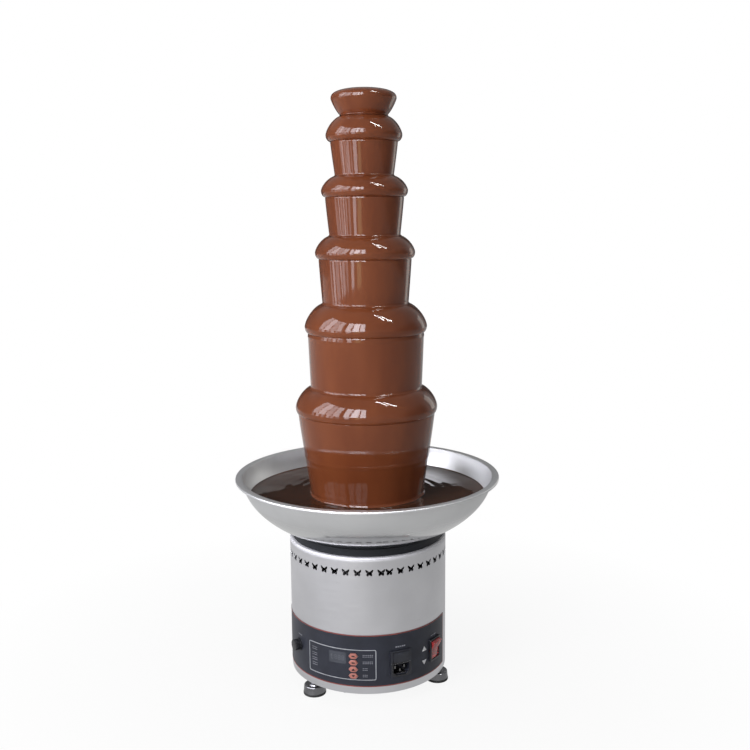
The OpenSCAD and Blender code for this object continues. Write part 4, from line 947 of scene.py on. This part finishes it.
def make_socket_trim():
    """Thin raised frame round the inlet's mouth, which is cut off at its two lower corners."""
    half_wide, half_tall, corner = 12.25, 8.25, 5 * MM
    s, c = sin(radians(INLET_ANGLE)), cos(radians(INLET_ANGLE))
    mesh = bmesh.new()
    loops = []
    for grow, depth in ((0, 0), (0, 0.5), (1.6, 0.5), (2, 0.1), (2, 0)):
        w, h, out = (half_wide + grow) * MM, (half_tall + grow) * MM, INLET_FACE + depth * MM
        outline = [(-w, h), (w, h), (w, corner - h), (w - corner, -h), (corner - w, -h), (-w, corner - h)]
        places = [(out * s + x * c, x * s - out * c, SOCKET_HEIGHT + z) for x, z in outline]
        loops.append([mesh.verts.new(place) for place in places])
    for inner, outer in zip(loops, loops[1:] + loops[:1]):
        join_rings(mesh, outer, inner)
    attach(piece_from(mesh, "socket_trim"), "base", "black_plastic")


def paint_frame_nodes():
    """Finishes for the frame's own nodes that stay as they are, by the slots that the record gives them."""
    for row in frame["record"]["subparts"]:
        mesh = NODES[row["node"]].data
        mesh.materials.clear()
        mesh.materials.append(FINISHES[row["material_slot"]])


# Studio


def aim(thing, place, target):
    thing.location = place
    thing.rotation_euler = (Vector(target) - Vector(place)).to_track_quat("-Z", "Y").to_euler()


def add_lamp(name, place, target, size, power, diffuse=True, glossy=True):
    """Soft rectangular lamp that the camera doesn't see."""
    data = bpy.data.lights.new(name, "AREA")
    data.shape = "RECTANGLE"
    data.size, data.size_y = size
    data.energy = power
    lamp = bpy.data.objects.new(name, data)
    bpy.context.scene.collection.objects.link(lamp)
    aim(lamp, place, target)
    lamp.visible_camera = False
    lamp.visible_diffuse = diffuse
    lamp.visible_glossy = glossy
    return lamp


def add_pane(name, azimuth, wide, heights, radiance, colour, distance=2.0):
    """Part of a tall window that only glossy surfaces see. Its azimuth and its width are in degrees."""
    x, y = place_of(azimuth, distance)
    low, high = heights
    middle = (low + high) / 2
    width, tall = radians(wide) * distance, high - low
    power = radiance * pi * width * tall
    pane = add_lamp(name, (x, y, middle), (0, 0, middle), (width, tall), power, diffuse=False)
    pane.data.color = colour


def make_lamps():
    """Soft lamps for the matt surfaces, and the windows of a room for the glossy ones."""
    add_lamp("left_softbox", (-1.5, -1.65, 1.2), (0, 0, 0.5), (1.1, 1.1), 42, glossy=False)
    add_lamp("right_fill", (2.2, -1.0, 0.9), (0, 0, 0.4), (1.0, 1.4), 2, glossy=False)
    add_lamp("top_soft", (-0.2, -0.5, 2.6), (0, 0, 0.4), (1.2, 1.2), 6, glossy=False)
    lavender, yellow, warm_white = (0.93, 0.93, 1), (1, 0.85, 0.45), (1, 0.98, 0.9)
    upper, lower, near = (0.88, 2.7), (0.24, 0.8), 1.6
    uppers = (
        (-90, 11, 6), (-77, 12, 10), (-64, 11, 6.5), (-51, 12, 9),
        (-32, 11, 14), (-19, 11, 20), (-6, 11, 16),
    )
    for i, (azimuth, wide, radiance) in enumerate(uppers):
        add_pane(f"upper_pane_{i + 1}", azimuth, wide, upper, radiance, lavender)
    lowers = (
        (-92, 5, 2.5), (-83, 7, 6), (-73, 6, 3.5), (-64, 4, 8),
        (-56, 6, 5), (-46, 6, 3), (-30, 10, 7),
    )
    for i, (azimuth, wide, radiance) in enumerate(lowers):
        add_pane(f"lower_pane_{i + 1}", azimuth, wide, lower, radiance, lavender, near)
    add_pane("warm_pane", -15, 8, lower, 2.6, yellow, near)
    add_pane("right_window", 133, 14, (0.3, 1.1), 1, warm_white, near)
    for i in range(2):
        place = (0.66 + 0.42 * i, -0.6, 2.3)
        tube = add_lamp(f"tube_lamp_{i + 1}", place, (0.2, 0, 0.5), (0.04, 0.8), 9, diffuse=False)
        tube.rotation_euler.rotate_axis("Z", radians(14))


def make_world():
    """White for the camera, a plain level for matt surfaces, and an uneven room for glossy ones."""
    world = bpy.data.worlds.new("studio")
    bpy.context.scene.world = world
    world.use_nodes = True
    tree = world.node_tree
    tree.nodes.clear()
    path = add_node(tree, "ShaderNodeLightPath").outputs
    place = add_node(tree, "ShaderNodeTexCoord").outputs["Generated"]
    split = add_node(tree, "ShaderNodeSeparateXYZ", {"Vector": place}).outputs
    azimuth = math_node(tree, "ARCTAN2", split["X"], math_node(tree, "MULTIPLY", split["Y"], -1))
    ramp = add_node(tree, "ShaderNodeValToRGB", {"Fac": map_range(tree, azimuth, (-pi, pi))})
    stops = (
        (-180, 0.05), (-158, 0.06), (-142, 0.16), (-105, 0.3), (-60, 0.5), (0, 0.58), (45, 0.5), (68, 0.25),
        (108, 0.2), (120, 0.55), (146, 0.55), (158, 0.08), (180, 0.05),
    )
    elements = ramp.color_ramp.elements
    for angle, _ in stops[1:-1]:
        elements.new(angle / 360 + 0.5)
    for element, (_, level) in zip(elements, stops):
        element.color = (level, level, level * 1.01, 1)
    white, plain, ceiling = (plain_light(tree, "ShaderNodeBackground", level) for level in (1, 0.17, 0.42))
    walls = plain_light(tree, "ShaderNodeBackground", 1, ramp.outputs["Color"])
    room = mix_shaders(tree, map_range(tree, split["Z"], (0.34, 0.5)), walls, ceiling)
    shiny = math_node(tree, "MAXIMUM", path["Is Glossy Ray"], path["Is Transmission Ray"])
    lights = mix_shaders(tree, shiny, plain, room)
    shown = mix_shaders(tree, path["Is Camera Ray"], lights, white)
    add_node(tree, "ShaderNodeOutputWorld", {"Surface": shown})


def make_floor():
    """Floor that the camera sees as white with a faint shadow, that glossy surfaces see as a painted glow,
    lighter towards -X, and that is clear from below.
    """
    reach = 4
    data = bpy.data.meshes.new("floor")
    corners = [(-reach, -reach, 0), (reach, -reach, 0), (reach, reach, 0), (-reach, reach, 0)]
    data.from_pydata(corners, [], [(0, 1, 2, 3)])
    floor = bpy.data.objects.new("floor", data)
    bpy.context.scene.collection.objects.link(floor)
    made = bpy.data.materials.new("floor_white")
    made.use_nodes = True
    tree = made.node_tree
    tree.nodes.clear()
    path = add_node(tree, "ShaderNodeLightPath").outputs
    place = add_node(tree, "ShaderNodeTexCoord").outputs["Object"]
    across = add_node(tree, "ShaderNodeSeparateXYZ", {"Vector": place}).outputs["X"]
    away = vector_math(tree, "LENGTH", {0: place}, "Value")
    matt = add_node(tree, "ShaderNodeBsdfDiffuse", {"Color": (0.85, 0.85, 0.85, 1)}).outputs[0]
    glow = plain_light(tree, "ShaderNodeEmission", 1)
    # Glossy rays see the floor as a painted glow, brighter towards -X, in place of the lit floor.
    painted_floor_glow = plain_light(tree, "ShaderNodeEmission", map_range(tree, across, (-0.9, 0.9), (0.68, 0.5)))
    plainness = map_range(tree, away, (0.15, 0.7), (0.9, 1))
    seen = mix_shaders(tree, math_node(tree, "MULTIPLY", path["Is Camera Ray"], plainness), matt, glow)
    from_above = mix_shaders(tree, path["Is Glossy Ray"], seen, painted_floor_glow)
    clear = add_node(tree, "ShaderNodeBsdfTransparent").outputs[0]
    under = add_node(tree, "ShaderNodeNewGeometry").outputs["Backfacing"]
    sided = mix_shaders(tree, under, from_above, clear)
    add_node(tree, "ShaderNodeOutputMaterial", {"Surface": sided})
    data.materials.append(made)


def add_camera():
    """Camera at the photograph's place, tilted a little down."""
    data = bpy.data.cameras.new("camera")
    data.sensor_width = 36
    data.lens = 45.87
    camera = bpy.data.objects.new("camera", data)
    bpy.context.scene.collection.objects.link(camera)
    place = (0, -1.3619, 0.6785)
    pitch, yaw, roll = 9.40, -0.53, -0.47
    turn_to = Matrix.Rotation(radians(yaw), 4, "Z") @ Matrix.Rotation(radians(90 - pitch), 4, "X")
    turn_to = turn_to @ Matrix.Rotation(radians(roll), 4, "Z")
    camera.matrix_world = Matrix.Translation(place) @ turn_to
    bpy.context.scene.camera = camera


paint_frame_nodes()
make_curtains()
make_crown_chocolate()
make_pool()
make_basin()
make_collar()
make_housing()
make_base_screws()
for k in range(3):
    make_foot(k)
make_border()
make_frame_line()
make_prints()
make_marks()
make_display_segments()
make_controls()
make_socket_trim()

make_world()
make_floor()
make_lamps()
add_camera()
bpy.context.scene.view_settings.view_transform = "Standard"
